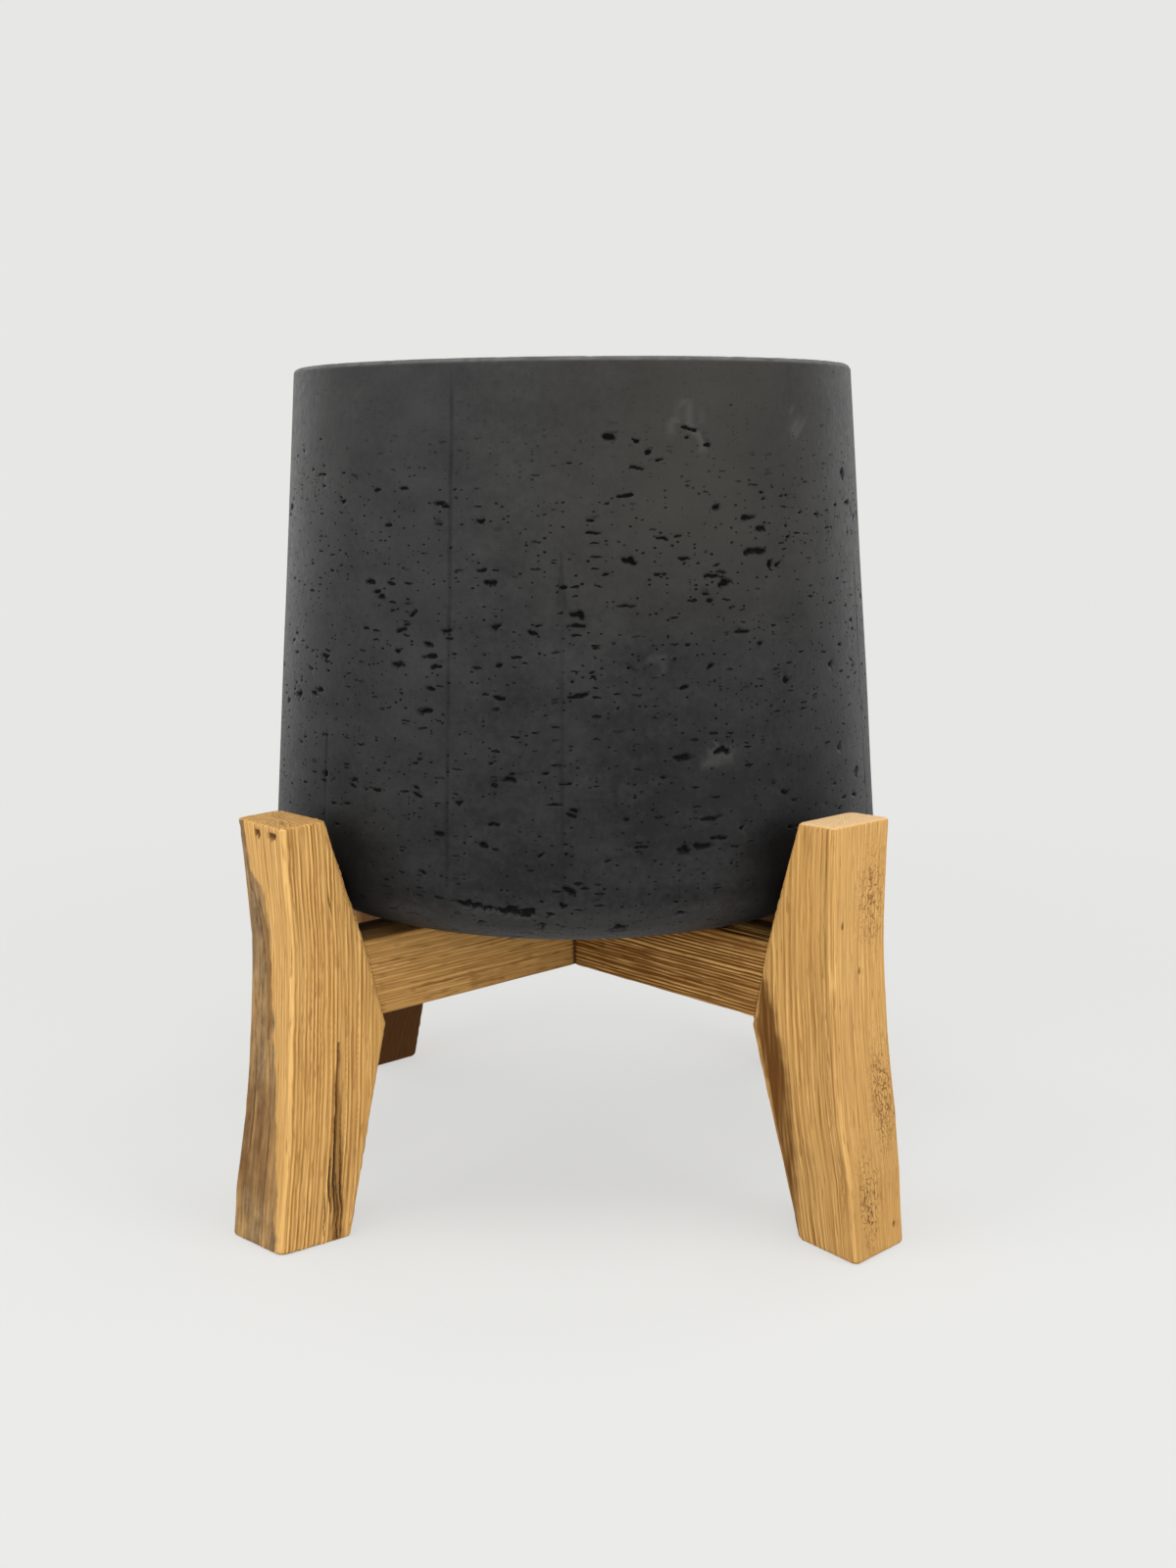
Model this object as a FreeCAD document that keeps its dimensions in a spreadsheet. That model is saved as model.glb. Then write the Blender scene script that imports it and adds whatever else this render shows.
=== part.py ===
import FreeCAD, Part
import math
import os

import Sketcher

# A tapered fibre-clay pot stands on a wooden stand: two crossbars, halved over each other at the
# centre, carry the pot, and a shaped leg is dowelled to each of their four ends.
# Frame: +Z up, the origin on the floor under the pot's axis, the front towards -Y, and the legs on
# the diagonals. "Reach" is a distance from the pot's axis along a leg's diagonal.

# Driving dimensions in millimetres. Each one is a cell of the sheet.
DIMENSIONS = {
    # Pot: heights are measured from the underside of its base.
    "pot_height": 258.0,
    "belly_radius": 150.0,
    "belly_height": 31.5,
    "rim_taper": 16.0,
    "rim_rounding": 3.0,
    "heel_radius": 23.0,
    "heel_run": 53.0,
    "wall_thickness": 11.0,
    "floor_thickness": 13.0,
    "cavity_heel_radius": 12.0,
    # Drain hole in the pot's floor, wider at its top, and the bung that closes it.
    "drain_lower_radius": 10.0,
    "drain_upper_radius": 12.0,
    "plug_clearance": 0.3,
    "plug_recess": 1.5,
    "plug_flange_radius": 18.0,
    "plug_flange_thickness": 3.0,
    "plug_knob_radius": 6.0,
    "plug_knob_height": 6.0,
    "plug_rounding": 1.0,
    # Crossbars: heights are measured from the floor.
    "bar_underside": 99.0,
    "bar_depth": 36.5,
    "bar_width": 30.0,
    "bar_edge_rounding": 1.5,
    "lap_clearance": 0.1,
    # Leg outline, from the seat under the pot's belly up to the top, down the outer curve to the
    # foot, and up to the knee below the crossbar.
    "leg_width": 36.6,
    "seat_tuck": 4.8,
    "leg_rise": 59.0,
    "top_standoff": 13.8,
    "top_depth": 23.6,
    "foot_flare": 13.4,
    "shin_setback": 8.4,
    "shin_height": 57.0,
    "foot_depth": 38.8,
    "knee_run": 9.9,
    "knee_drop": 3.5,
    "leg_edge_rounding": 4.5,
    "leg_end_chamfer": 1.2,
    # Hewn facet on the inner half of one leg's front face.
    "hewn_run": 25.0,
    "hewn_depth": 3.5,
    "hewn_rise": 18.0,
    # Dowels between each leg and its crossbar, set one above the other.
    "dowel_diameter": 8.0,
    "dowel_length": 40.0,
    "dowel_spacing": 18.0,
    "dowel_chamfer": 1.0,
    "glue_gap": 0.1,
    # How far a cut runs past the face that it opens.
    "cut_overrun": 2.0,
}

# The legs in order about the pot's axis, a quarter turn apart. Angles are in degrees from +X.
LEG_NAMES = ["rear_right", "rear_left", "front_left", "front_right"]
FIRST_LEG_ANGLE = 45
QUARTER_TURN_ANGLE = 90
LEG_ANGLES = {name: FIRST_LEG_ANGLE + QUARTER_TURN_ANGLE * turn for turn, name in enumerate(LEG_NAMES)}
HEWN_LEG = "front_right"
LOWER_BAR_ANGLE = LEG_ANGLES["rear_right"]
UPPER_BAR_ANGLE = LEG_ANGLES["rear_left"]

SAME_PLACE = 1e-4  # two places nearer than this are taken as one

doc = FreeCAD.newDocument("planter_with_stand")


class Size:
    """A number together with the sheet formula that gives it."""

    def __init__(self, number, formula):
        self.number = number
        self.formula = formula

    def __add__(self, other):
        return Size(self.number + other.number, f"({self.formula} + {other.formula})")

    def __sub__(self, other):
        return Size(self.number - other.number, f"({self.formula} - {other.formula})")

    def __mul__(self, other):
        return Size(self.number * other.number, f"({self.formula} * {other.formula})")

    def __truediv__(self, other):
        return Size(self.number / other.number, f"({self.formula} / {other.formula})")

    def __neg__(self):
        return Size(-self.number, f"(-1 * {self.formula})")


ZERO = Size(0, "0")
TWO = Size(2, "2")


def fill_sheet():
    """Write the driving dimensions to the sheet and return them by name."""
    sheet = doc.addObject("Spreadsheet::Sheet", "sizes")
    for row, (name, number) in enumerate(DIMENSIONS.items(), start=1):
        sheet.set(f"A{row}", name)
        sheet.set(f"B{row}", str(number))
        sheet.setAlias(f"B{row}", name)
    doc.recompute()
    return {name: Size(sheet.get(name), f"sizes.{name}") for name in DIMENSIONS}


size = fill_sheet()

# Heights, reaches and radii that several pieces share.
rim_radius = size["belly_radius"] - size["rim_taper"]
base_radius = size["belly_radius"] - size["heel_run"]
bar_top = size["bar_underside"] + size["bar_depth"]
bar_middle = size["bar_underside"] + size["bar_depth"] / TWO
half_lap_width = size["bar_width"] / TWO + size["lap_clearance"]
half_leg_width = size["leg_width"] / TWO
leg_height = bar_top + size["leg_rise"]
seat_top_reach = size["belly_radius"] - size["seat_tuck"]
knee_reach = seat_top_reach - size["knee_run"]
knee_height = size["bar_underside"] - size["knee_drop"]
top_inner_reach = size["belly_radius"] + size["top_standoff"]
top_outer_reach = top_inner_reach + size["top_depth"]
foot_outer_reach = top_outer_reach + size["foot_flare"]
dowel_heights = [bar_middle - size["dowel_spacing"] / TWO, bar_middle + size["dowel_spacing"] / TWO]
dowel_hole_diameter = size["dowel_diameter"] + size["glue_gap"] * TWO


def seat_reach(height):
    """Reach of the leg's flat seat, where the end of a crossbar meets it, at a height."""
    return knee_reach + size["knee_run"] * (height - knee_height) / (bar_top - knee_height)


def drain_radius(height):
    """Radius of the tapered drain hole at a height above the pot's underside."""
    taper = size["drain_upper_radius"] - size["drain_lower_radius"]
    return size["drain_lower_radius"] + taper * height / size["floor_thickness"]


dowel_inner_end = seat_reach(bar_middle) - size["dowel_length"] / TWO
dowel_outer_end = seat_reach(bar_middle) + size["dowel_length"] / TWO


def new_body(label, angle=0):
    """An empty body, turned about the pot's axis."""
    body = doc.addObject("PartDesign::Body", label)
    body.Label = label
    turn = FreeCAD.Rotation(FreeCAD.Vector(0, 0, 1), angle)
    body.Placement = FreeCAD.Placement(FreeCAD.Vector(), turn)
    return body


def stand_on_bars(body):
    """Lift a body that is drawn from the pot's underside up onto the crossbars."""
    body.setExpression("Placement.Base.z", bar_top.formula)


def origin_plane(body, role):
    return next(part for part in body.Origin.OriginFeatures if part.Role == role)


def new_sketch(body, plane, name, offset=ZERO):
    """A sketch on one of the body's origin planes, moved along that plane's normal."""
    sketch = body.newObject("Sketcher::SketchObject", f"{body.Name}_{name}_sketch")
    sketch.AttachmentSupport = [(origin_plane(body, plane), "")]
    sketch.MapMode = "FlatFace"
    if offset is not ZERO:
        sketch.setExpression("AttachmentOffset.Base.z", offset.formula)
    return sketch


def new_feature(body, kind, name, **bound):
    """A feature of the body with properties bound to sizes."""
    feature = body.newObject(f"PartDesign::{kind}", f"{body.Name}_{name}")
    for property_name, value in bound.items():
        feature.setExpression(property_name, value.formula)
    return feature


def revolve(body, kind, name, sketch):
    """A full turn of the sketch about its upright axis: a Revolution adds, a Groove cuts."""
    feature = new_feature(body, kind, name)
    feature.Profile = sketch
    feature.ReferenceAxis = (sketch, ["V_Axis"])
    feature.Angle = 360
    return feature


def extrude(body, kind, name, sketch, length, side="One side", reversed_way=False):
    """A Pad adds along the sketch's normal, and a Pocket cuts against it."""
    feature = new_feature(body, kind, name, Length=length)
    feature.Profile = sketch
    feature.SideType = side
    feature.Reversed = reversed_way
    return feature


def bind_constraint(sketch, kind, value, *where):
    """A dimension in a sketch, bound to a size."""
    index = sketch.addConstraint(Sketcher.Constraint(kind, *where, value.number))
    sketch.setExpression(f"Constraints[{index}]", value.formula)


def pin_point(sketch, geometry, end, place):
    """Hold a point of the sketch at a place, on the sketch's axes where a coordinate is zero."""
    for kind, axis, value in (("DistanceX", -2, place[0]), ("DistanceY", -1, place[1])):
        if value is ZERO:
            sketch.addConstraint(Sketcher.Constraint("PointOnObject", geometry, end, axis))
        else:
            bind_constraint(sketch, kind, value, -1, 1, geometry, end)


def sketch_point(place):
    return FreeCAD.Vector(place[0].number, place[1].number, 0)


def add_line(sketch, start, end):
    """A line, as its number in the sketch and the numbers of its near and far ends."""
    return sketch.addGeometry(Part.LineSegment(sketch_point(start), sketch_point(end)), False), 1, 2


def add_arc(sketch, start, through, end):
    """An arc, as its number in the sketch and the numbers of its near and far ends."""
    curve = Part.Arc(sketch_point(start), sketch_point(through), sketch_point(end))
    side = sketch.addGeometry(curve, False)
    starts_near = sketch.getPoint(side, 1).distanceToPoint(sketch_point(start)) < SAME_PLACE
    return (side, 1, 2) if starts_near else (side, 2, 1)


def join_sides(sketch, sides, smooth=()):
    """Join each side's far end to the next side's near end, without a corner after smooth ones."""
    for number, (side, _, far) in enumerate(sides):
        following, near, _ = sides[(number + 1) % len(sides)]
        kind = "Tangent" if number in smooth else "Coincident"
        sketch.addConstraint(Sketcher.Constraint(kind, side, far, following, near))


def draw_outline(sketch, corners, arcs=None):
    """A closed outline through the corners. arcs gives, for each side that is one, a point on it."""
    arcs = arcs or {}
    sides = []
    for number, start in enumerate(corners):
        end = corners[(number + 1) % len(corners)]
        if number in arcs:
            sides.append(add_arc(sketch, start, arcs[number], end))
        else:
            sides.append(add_line(sketch, start, end))
    join_sides(sketch, sides)
    for (side, near, _), corner in zip(sides, corners):
        pin_point(sketch, side, near, corner)
    for number, place in arcs.items():
        marker = sketch.addGeometry(Part.Point(sketch_point(place)), True)
        sketch.addConstraint(Sketcher.Constraint("PointOnObject", marker, 1, sides[number][0]))
        pin_point(sketch, marker, 1, place)


def draw_circles(sketch, diameter, heights):
    """Equal circles on the sketch's upright axis."""
    for height in heights:
        circle = Part.Circle(sketch_point((ZERO, height)), FreeCAD.Vector(0, 0, 1), diameter.number / 2)
        number = sketch.addGeometry(circle, False)
        bind_constraint(sketch, "Diameter", diameter, number)
        pin_point(sketch, number, 3, (ZERO, height))


def draw_bowl(sketch, floor, base, belly, belly_height, heel, rim, top):
    """Half the section of a bowl: a flat floor, a wide and a tight arc, and a straight wall."""
    heel_centre = FreeCAD.Vector(belly.number - heel.number, belly_height.number, 0)
    drop = belly_height.number - floor.number
    run = heel_centre.x - base.number
    sole = (run**2 + drop**2 - heel.number**2) / (2 * (drop - heel.number))
    sole_centre = FreeCAD.Vector(base.number, floor.number + sole, 0)
    meeting = math.atan2(heel_centre.y - sole_centre.y, heel_centre.x - sole_centre.x)
    upright = FreeCAD.Vector(0, 0, 1)
    sole_arc = Part.ArcOfCircle(Part.Circle(sole_centre, upright, sole), -math.pi / 2, meeting)
    heel_arc = Part.ArcOfCircle(Part.Circle(heel_centre, upright, heel.number), meeting, 0)
    sides = [
        add_line(sketch, (ZERO, floor), (base, floor)),
        (sketch.addGeometry(sole_arc, False), 1, 2),
        (sketch.addGeometry(heel_arc, False), 1, 2),
        add_line(sketch, (belly, belly_height), (rim, top)),
        add_line(sketch, (rim, top), (ZERO, top)),
        add_line(sketch, (ZERO, top), (ZERO, floor)),
    ]
    join_sides(sketch, sides, smooth=(0, 1, 2))
    pinned = [
        (0, (ZERO, floor)),
        (1, (base, floor)),
        (3, (belly, belly_height)),
        (4, (rim, top)),
        (5, (ZERO, top)),
    ]
    for number, place in pinned:
        side, near, _ = sides[number]
        pin_point(sketch, side, near, place)
    bind_constraint(sketch, "Radius", heel, sides[2][0])


def middle_of(edge):
    return edge.valueAt((edge.FirstParameter + edge.LastParameter) / 2)


def dress_edges(body, kind, name, base, chosen, **bound):
    """Round or chamfer those edges of a feature that the test picks out by their middles."""
    doc.recompute()
    edges = enumerate(base.Shape.Edges, start=1)
    names = [f"Edge{number}" for number, edge in edges if chosen(middle_of(edge))]
    if not names:
        raise RuntimeError(f"{body.Label} has no edges for {name}")
    feature = new_feature(body, kind, name, **bound)
    feature.Base = (base, names)
    return feature


def at(coordinate, value):
    """Whether a coordinate lies at a size."""
    return abs(coordinate - value.number) < SAME_PLACE


def make_pot():
    """Tapered bowl with rounded heel, even wall, eased rim and a drain hole in its floor."""
    body = new_body("pot")
    outside = new_sketch(body, "XZ_Plane", "outside")
    draw_bowl(
        outside,
        floor=ZERO,
        base=base_radius,
        belly=size["belly_radius"],
        belly_height=size["belly_height"],
        heel=size["heel_radius"],
        rim=rim_radius,
        top=size["pot_height"],
    )
    revolve(body, "Revolution", "bowl", outside)
    inside = new_sketch(body, "XZ_Plane", "inside")
    draw_bowl(
        inside,
        floor=size["floor_thickness"],
        base=base_radius,
        belly=size["belly_radius"] - size["wall_thickness"],
        belly_height=size["belly_height"],
        heel=size["cavity_heel_radius"],
        rim=rim_radius - size["wall_thickness"],
        top=size["pot_height"],
    )
    cavity = revolve(body, "Groove", "cavity", inside)
    rim = dress_edges(
        body,
        "Fillet",
        "rim",
        cavity,
        lambda middle: at(middle.z, size["pot_height"]),
        Radius=size["rim_rounding"],
    )
    body.Tip = rim
    drain = new_sketch(body, "XZ_Plane", "drain")
    draw_outline(
        drain,
        [
            (ZERO, ZERO),
            (size["drain_lower_radius"], ZERO),
            (size["drain_upper_radius"], size["floor_thickness"]),
            (ZERO, size["floor_thickness"]),
        ],
    )
    body.Tip = revolve(body, "Groove", "drain", drain)
    stand_on_bars(body)
    return body


def make_drain_plug():
    """Bung whose tapered stem fills the drain hole, with a flange on the pot's floor and a knob."""
    body = new_body("drain_plug")
    flange_top = size["floor_thickness"] + size["plug_flange_thickness"]
    knob_top = flange_top + size["plug_knob_height"]
    section = new_sketch(body, "XZ_Plane", "section")
    draw_outline(
        section,
        [
            (ZERO, size["plug_recess"]),
            (drain_radius(size["plug_recess"]) - size["plug_clearance"], size["plug_recess"]),
            (size["drain_upper_radius"] - size["plug_clearance"], size["floor_thickness"]),
            (size["plug_flange_radius"], size["floor_thickness"]),
            (size["plug_flange_radius"], flange_top),
            (size["plug_knob_radius"], flange_top),
            (size["plug_knob_radius"], knob_top),
            (ZERO, knob_top),
        ],
    )
    turned = revolve(body, "Revolution", "turned", section)

    def is_top_rim(middle):
        reach = math.hypot(middle.x, middle.y)
        on_flange = at(middle.z, flange_top) and at(reach, size["plug_flange_radius"])
        return on_flange or (at(middle.z, knob_top) and at(reach, size["plug_knob_radius"]))

    body.Tip = dress_edges(body, "Fillet", "rims", turned, is_top_rim, Radius=size["plug_rounding"])
    stand_on_bars(body)
    return body


def draw_leg_outline(sketch):
    """Side view of a leg: a hollow outside that flares to the foot, and a knee on the inside."""
    corners = [
        (foot_outer_reach - size["foot_depth"], ZERO),
        (foot_outer_reach, ZERO),
        (top_outer_reach, leg_height),
        (top_inner_reach, leg_height),
        (seat_top_reach, bar_top),
        (knee_reach, knee_height),
    ]
    shin = (foot_outer_reach - size["shin_setback"], size["shin_height"])
    draw_outline(sketch, corners, arcs={1: shin})


def round_leg(body, blank):
    """Round the leg's long edges and break the sharp rims of its top and its foot."""

    def is_end_rim(middle):
        return at(middle.z, ZERO) or at(middle.z, leg_height)

    def is_long_edge(middle):
        return at(abs(middle.y), half_leg_width) and not is_end_rim(middle)

    rounded = dress_edges(
        body, "Fillet", "long_edges", blank, is_long_edge, Radius=size["leg_edge_rounding"]
    )
    return dress_edges(body, "Chamfer", "end_rims", rounded, is_end_rim, Size=size["leg_end_chamfer"])


def hew_leg(body):
    """Plane the inner half of the leg's front face off at a slant, up to the crossbar."""
    hewn_reach = knee_reach + size["hewn_run"]
    past_knee = knee_reach - size["cut_overrun"]
    past_face = -half_leg_width - size["cut_overrun"]
    slant = size["hewn_depth"] / size["hewn_run"]
    sketch = new_sketch(body, "XY_Plane", "hewn")
    draw_outline(
        sketch,
        [
            (hewn_reach, past_face),
            (hewn_reach, -half_leg_width),
            (past_knee, slant * (hewn_reach - past_knee) - half_leg_width),
            (past_knee, past_face),
        ],
    )
    hewn_height = size["bar_underside"] + size["hewn_rise"]
    return extrude(body, "Pocket", "hewn", sketch, hewn_height, reversed_way=True)


def make_leg(name, angle):
    """Leg with eased edges and blind dowel holes in its seat. One leg has a hewn facet."""
    body = new_body(f"{name}_leg", angle)
    outline = new_sketch(body, "XZ_Plane", "outline")
    draw_leg_outline(outline)
    blank = extrude(body, "Pad", "blank", outline, size["leg_width"], side="Symmetric")
    body.Tip = round_leg(body, blank)
    if name == HEWN_LEG:
        body.Tip = hew_leg(body)
    holes = new_sketch(body, "YZ_Plane", "dowel_holes", offset=dowel_outer_end + size["glue_gap"])
    draw_circles(holes, dowel_hole_diameter, dowel_heights)
    body.Tip = extrude(body, "Pocket", "dowel_holes", holes, size["dowel_length"])
    return body


def make_crossbar(name, angle, notch_bottom, notch_top):
    """Bar between two opposite legs, halved at its middle, with dowel holes in both ends."""
    body = new_body(name, angle)
    side_view = new_sketch(body, "XZ_Plane", "side_view")
    lower_reach = seat_reach(size["bar_underside"])
    draw_outline(
        side_view,
        [
            (-lower_reach, size["bar_underside"]),
            (lower_reach, size["bar_underside"]),
            (seat_top_reach, bar_top),
            (-seat_top_reach, bar_top),
        ],
    )
    blank = extrude(body, "Pad", "blank", side_view, size["bar_width"], side="Symmetric")

    def is_long_edge(middle):
        return at(middle.x, ZERO) and at(abs(middle.y), size["bar_width"] / TWO)

    body.Tip = dress_edges(
        body, "Fillet", "long_edges", blank, is_long_edge, Radius=size["bar_edge_rounding"]
    )
    notch = new_sketch(body, "XZ_Plane", "notch")
    draw_outline(
        notch,
        [
            (-half_lap_width, notch_bottom),
            (half_lap_width, notch_bottom),
            (half_lap_width, notch_top),
            (-half_lap_width, notch_top),
        ],
    )
    notch_length = size["bar_width"] + size["cut_overrun"] * TWO
    body.Tip = extrude(body, "Pocket", "notch", notch, notch_length, side="Symmetric")
    holes = new_sketch(body, "YZ_Plane", "dowel_holes", offset=dowel_inner_end - size["glue_gap"])
    draw_circles(holes, dowel_hole_diameter, dowel_heights)
    drilled = extrude(body, "Pocket", "dowel_holes", holes, size["dowel_length"], reversed_way=True)
    body.Tip = drilled
    both_ends = new_feature(body, "Mirrored", "both_ends")
    both_ends.Originals = [drilled]
    both_ends.MirrorPlane = (origin_plane(body, "YZ_Plane"), [""])
    body.Tip = both_ends
    return body


def make_dowels(name, angle):
    """The two dowels that hold one leg to its crossbar."""
    body = new_body(f"{name}_dowels", angle)
    body.AllowCompound = True
    ends = new_sketch(body, "YZ_Plane", "ends", offset=dowel_inner_end)
    draw_circles(ends, size["dowel_diameter"], dowel_heights)
    pins = extrude(body, "Pad", "pins", ends, size["dowel_length"])

    def is_end_rim(middle):
        return at(middle.x, dowel_inner_end) or at(middle.x, dowel_outer_end)

    body.Tip = dress_edges(body, "Chamfer", "chamfers", pins, is_end_rim, Size=size["dowel_chamfer"])
    return body


def make_all():
    """Every sub-part of the planter."""
    pieces = [make_pot(), make_drain_plug()]
    notch_past_top = bar_top + size["cut_overrun"]
    notch_past_underside = size["bar_underside"] - size["cut_overrun"]
    pieces.append(make_crossbar("lower_crossbar", LOWER_BAR_ANGLE, bar_middle, notch_past_top))
    pieces.append(make_crossbar("upper_crossbar", UPPER_BAR_ANGLE, notch_past_underside, bar_middle))
    for name, angle in LEG_ANGLES.items():
        pieces.append(make_leg(name, angle))
        pieces.append(make_dowels(name, angle))
    doc.recompute()
    return pieces


def check(pieces):
    """Stop if anything in the document failed or a sub-part has no sound solid."""
    for item in doc.Objects:
        if "Invalid" in item.State or "Error" in item.State:
            raise RuntimeError(f"{item.Name} failed: {item.State}")
    for piece in pieces:
        if piece.Shape.isNull() or not piece.Shape.isValid() or not piece.Shape.Solids:
            raise RuntimeError(f"{piece.Label} has no sound solid")


def export(pieces):
    os.makedirs("parts", exist_ok=True)
    for piece in pieces:
        piece.Shape.exportStep(f"parts/{piece.Label}.step")
        print(f"{piece.Label}: {len(piece.Shape.Solids)} solids, {piece.Shape.Volume / 1000:.1f} cm3")


all_pieces = make_all()
check(all_pieces)
export(all_pieces)
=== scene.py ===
import math
from functools import partial

import bpy
import numpy as np
from mathutils import Matrix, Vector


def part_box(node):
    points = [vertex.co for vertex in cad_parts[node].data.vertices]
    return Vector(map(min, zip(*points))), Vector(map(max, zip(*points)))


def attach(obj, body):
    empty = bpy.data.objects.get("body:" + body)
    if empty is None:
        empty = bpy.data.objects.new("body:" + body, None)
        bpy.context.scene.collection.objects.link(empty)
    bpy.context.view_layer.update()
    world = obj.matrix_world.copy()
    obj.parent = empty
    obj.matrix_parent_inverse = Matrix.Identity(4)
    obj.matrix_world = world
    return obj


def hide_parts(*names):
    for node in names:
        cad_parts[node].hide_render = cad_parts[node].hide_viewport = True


# Looks of the planter: a pitted charcoal pot on a stand of brushed, weathered softwood.
# Shapes are worked out in millimetres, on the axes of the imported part, and go into Blender in metres.

MM = 0.001
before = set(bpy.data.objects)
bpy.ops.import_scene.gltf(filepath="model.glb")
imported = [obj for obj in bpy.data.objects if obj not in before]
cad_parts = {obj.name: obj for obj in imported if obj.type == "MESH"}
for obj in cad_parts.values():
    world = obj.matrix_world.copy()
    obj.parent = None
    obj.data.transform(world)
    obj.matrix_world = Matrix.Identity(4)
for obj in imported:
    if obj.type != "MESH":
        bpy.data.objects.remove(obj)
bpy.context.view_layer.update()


def node_corners(name):
    """Lowest and highest corner of a CAD node, in millimetres."""
    low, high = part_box(name)
    return np.array(low) / MM, np.array(high) / MM


pot_low, pot_high = node_corners("pot")
bar_low, bar_high = node_corners("lower_crossbar")
leg_high = node_corners("front_left_leg")[1]

# Pot. Heights on it are measured from its underside.
POT_UNDERSIDE = pot_low[2]
POT_HEIGHT = pot_high[2] - pot_low[2]
BELLY_RADIUS = pot_high[0]
BELLY_HEIGHT = 31.5
RIM_TAPER = 16.0
RIM_ROUNDING = 3.0
HEEL_RADIUS = 23.0
BASE_RADIUS = 97.0
WALL = 11.0
FLOOR = 13.0
CAVITY_HEEL_RADIUS = 12.0
DRAIN_LOWER_RADIUS = 10.0
DRAIN_UPPER_RADIUS = 12.0

# Crossbars. Places along a bar are measured from the pot's axis.
BAR_UNDERSIDE = bar_low[2]
BAR_TOP = bar_high[2]
BAR_WIDTH = 30.0
BAR_EDGE_ROUNDING = 1.5
BAR_LOWER_REACH = 136.2
BAR_UPPER_REACH = 145.2
LAP_HALF_WIDTH = 15.1

# Legs. Reach is the distance from the pot's axis along a leg's diagonal. The outside is an arc
# through its three points, and the inside is straight between its points: (height, reach).
LEG_ANGLES = {"rear_right": 45, "rear_left": 135, "front_left": 225, "front_right": 315}
LEG_WIDTH = 36.6
LEG_HEIGHT = leg_high[2]
LEG_EDGE_ROUNDING = 3.2
LEG_TOP_EASING = 1.2
LEG_FOOT_EASING = 2.0
LEG_OUTSIDE = [(0, 200.8), (57, 192.4), (LEG_HEIGHT, 187.4)]
LEG_INSIDE = [(0, 162.0), (95.5, 135.3), (BAR_TOP, BAR_UPPER_REACH), (LEG_HEIGHT, 163.8)]
HEWN_DEPTH = 3.5
HEWN_RUN = 25.0


# Random values and curves

LATTICE_SEED = 5
LATTICE_SIZE = 1 << 14
LATTICE = np.random.default_rng(LATTICE_SEED).uniform(-1, 1, LATTICE_SIZE)
LATTICE_PRIMES = (7919, 104729, 1299709)


def ease(share):
    """A share from 0 to 1 that starts and ends gently."""
    return share * share * (3 - 2 * share)


def ramp(low, high, values):
    """From 0 at low to 1 at high, easing in and out."""
    return ease(np.clip((values - low) / (high - low), 0, 1))


def noise(x, y, z=0.0):
    """Smooth random values between -1 and 1, at places counted in lattice steps."""
    places = np.broadcast_arrays(x, y, z)
    cells = [np.floor(place).astype(np.int64) for place in places]
    shares = [ease(place - cell) for place, cell in zip(places, cells)]
    total = np.zeros(places[0].shape)
    for corner in np.ndindex(2, 2, 2):
        weight = np.ones(total.shape)
        number = np.zeros(total.shape, np.int64)
        for step, cell, share, prime in zip(corner, cells, shares, LATTICE_PRIMES):
            weight *= share if step else 1 - share
            number += (cell + step) * prime
        total += weight * LATTICE[number % LATTICE_SIZE]
    return total


def follow(points, along):
    """Values on straight lines between points (along, value)."""
    return np.interp(along, *zip(*points))


def arc_points(centre, radius, start, end, count):
    """Points of an arc in a plane, with its angles in radians."""
    angles = np.linspace(start, end, count)
    return np.column_stack([centre[0] + radius * np.cos(angles), centre[1] + radius * np.sin(angles)])


def circle_through(first, second, third):
    """Centre and radius of the circle through three points."""
    first, second, third = (np.array(point, float) for point in (first, second, third))
    chords = 2 * np.array([second - first, third - first])
    squares = [second @ second - first @ first, third @ third - first @ first]
    centre = np.linalg.solve(chords, squares)
    return centre, np.hypot(*(centre - first))


def spaced_points(points, count):
    """Points at even steps along a line through the given ones."""
    steps = np.hypot(*np.diff(points, axis=0).T)
    along = np.concatenate([[0], np.cumsum(steps)])
    places = np.linspace(0, along[-1], count)
    return np.column_stack([np.interp(places, along, points[:, axis]) for axis in (0, 1)])


# Nodes of a material

PLAIN_SPECULAR = 0.4


def add_node(tree, kind, inputs=None, **settings):
    """A shader node. Each input is a constant or another node's output."""
    node = tree.nodes.new(f"ShaderNode{kind}")
    for name, value in settings.items():
        setattr(node, name, value)
    for name, value in (inputs or {}).items():
        if isinstance(value, bpy.types.NodeSocket):
            tree.links.new(value, node.inputs[name])
        else:
            node.inputs[name].default_value = value
    return node


def read_mark(tree, name):
    """A number that the mesh carries at each vertex."""
    return add_node(tree, "Attribute", attribute_name=name).outputs["Fac"]


def own_place(tree):
    return add_node(tree, "TexCoord").outputs["Object"]


def compute(tree, operation, first, second=0.0):
    return add_node(tree, "Math", {0: first, 1: second}, operation=operation).outputs[0]


def blend(tree, share, first, second):
    """The first colour where the share is 0 and the second where it is 1."""
    inputs = {0: share, 6: first, 7: second}
    return add_node(tree, "Mix", inputs, data_type="RGBA", clamp_factor=True).outputs[2]


def remap(tree, value, from_low, from_high, to_low=0.0, to_high=1.0):
    inputs = {0: value, 1: from_low, 2: from_high, 3: to_low, 4: to_high}
    return add_node(tree, "MapRange", inputs, clamp=True).outputs[0]


def stretched(tree, place, scale):
    return add_node(tree, "Mapping", {"Vector": place, "Scale": scale}).outputs["Vector"]


def cloud(tree, place, scale, detail=2.0, roughness=0.5, output="Fac"):
    inputs = {"Vector": place, "Scale": scale, "Detail": detail, "Roughness": roughness}
    return add_node(tree, "TexNoise", inputs).outputs[output]


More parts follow.
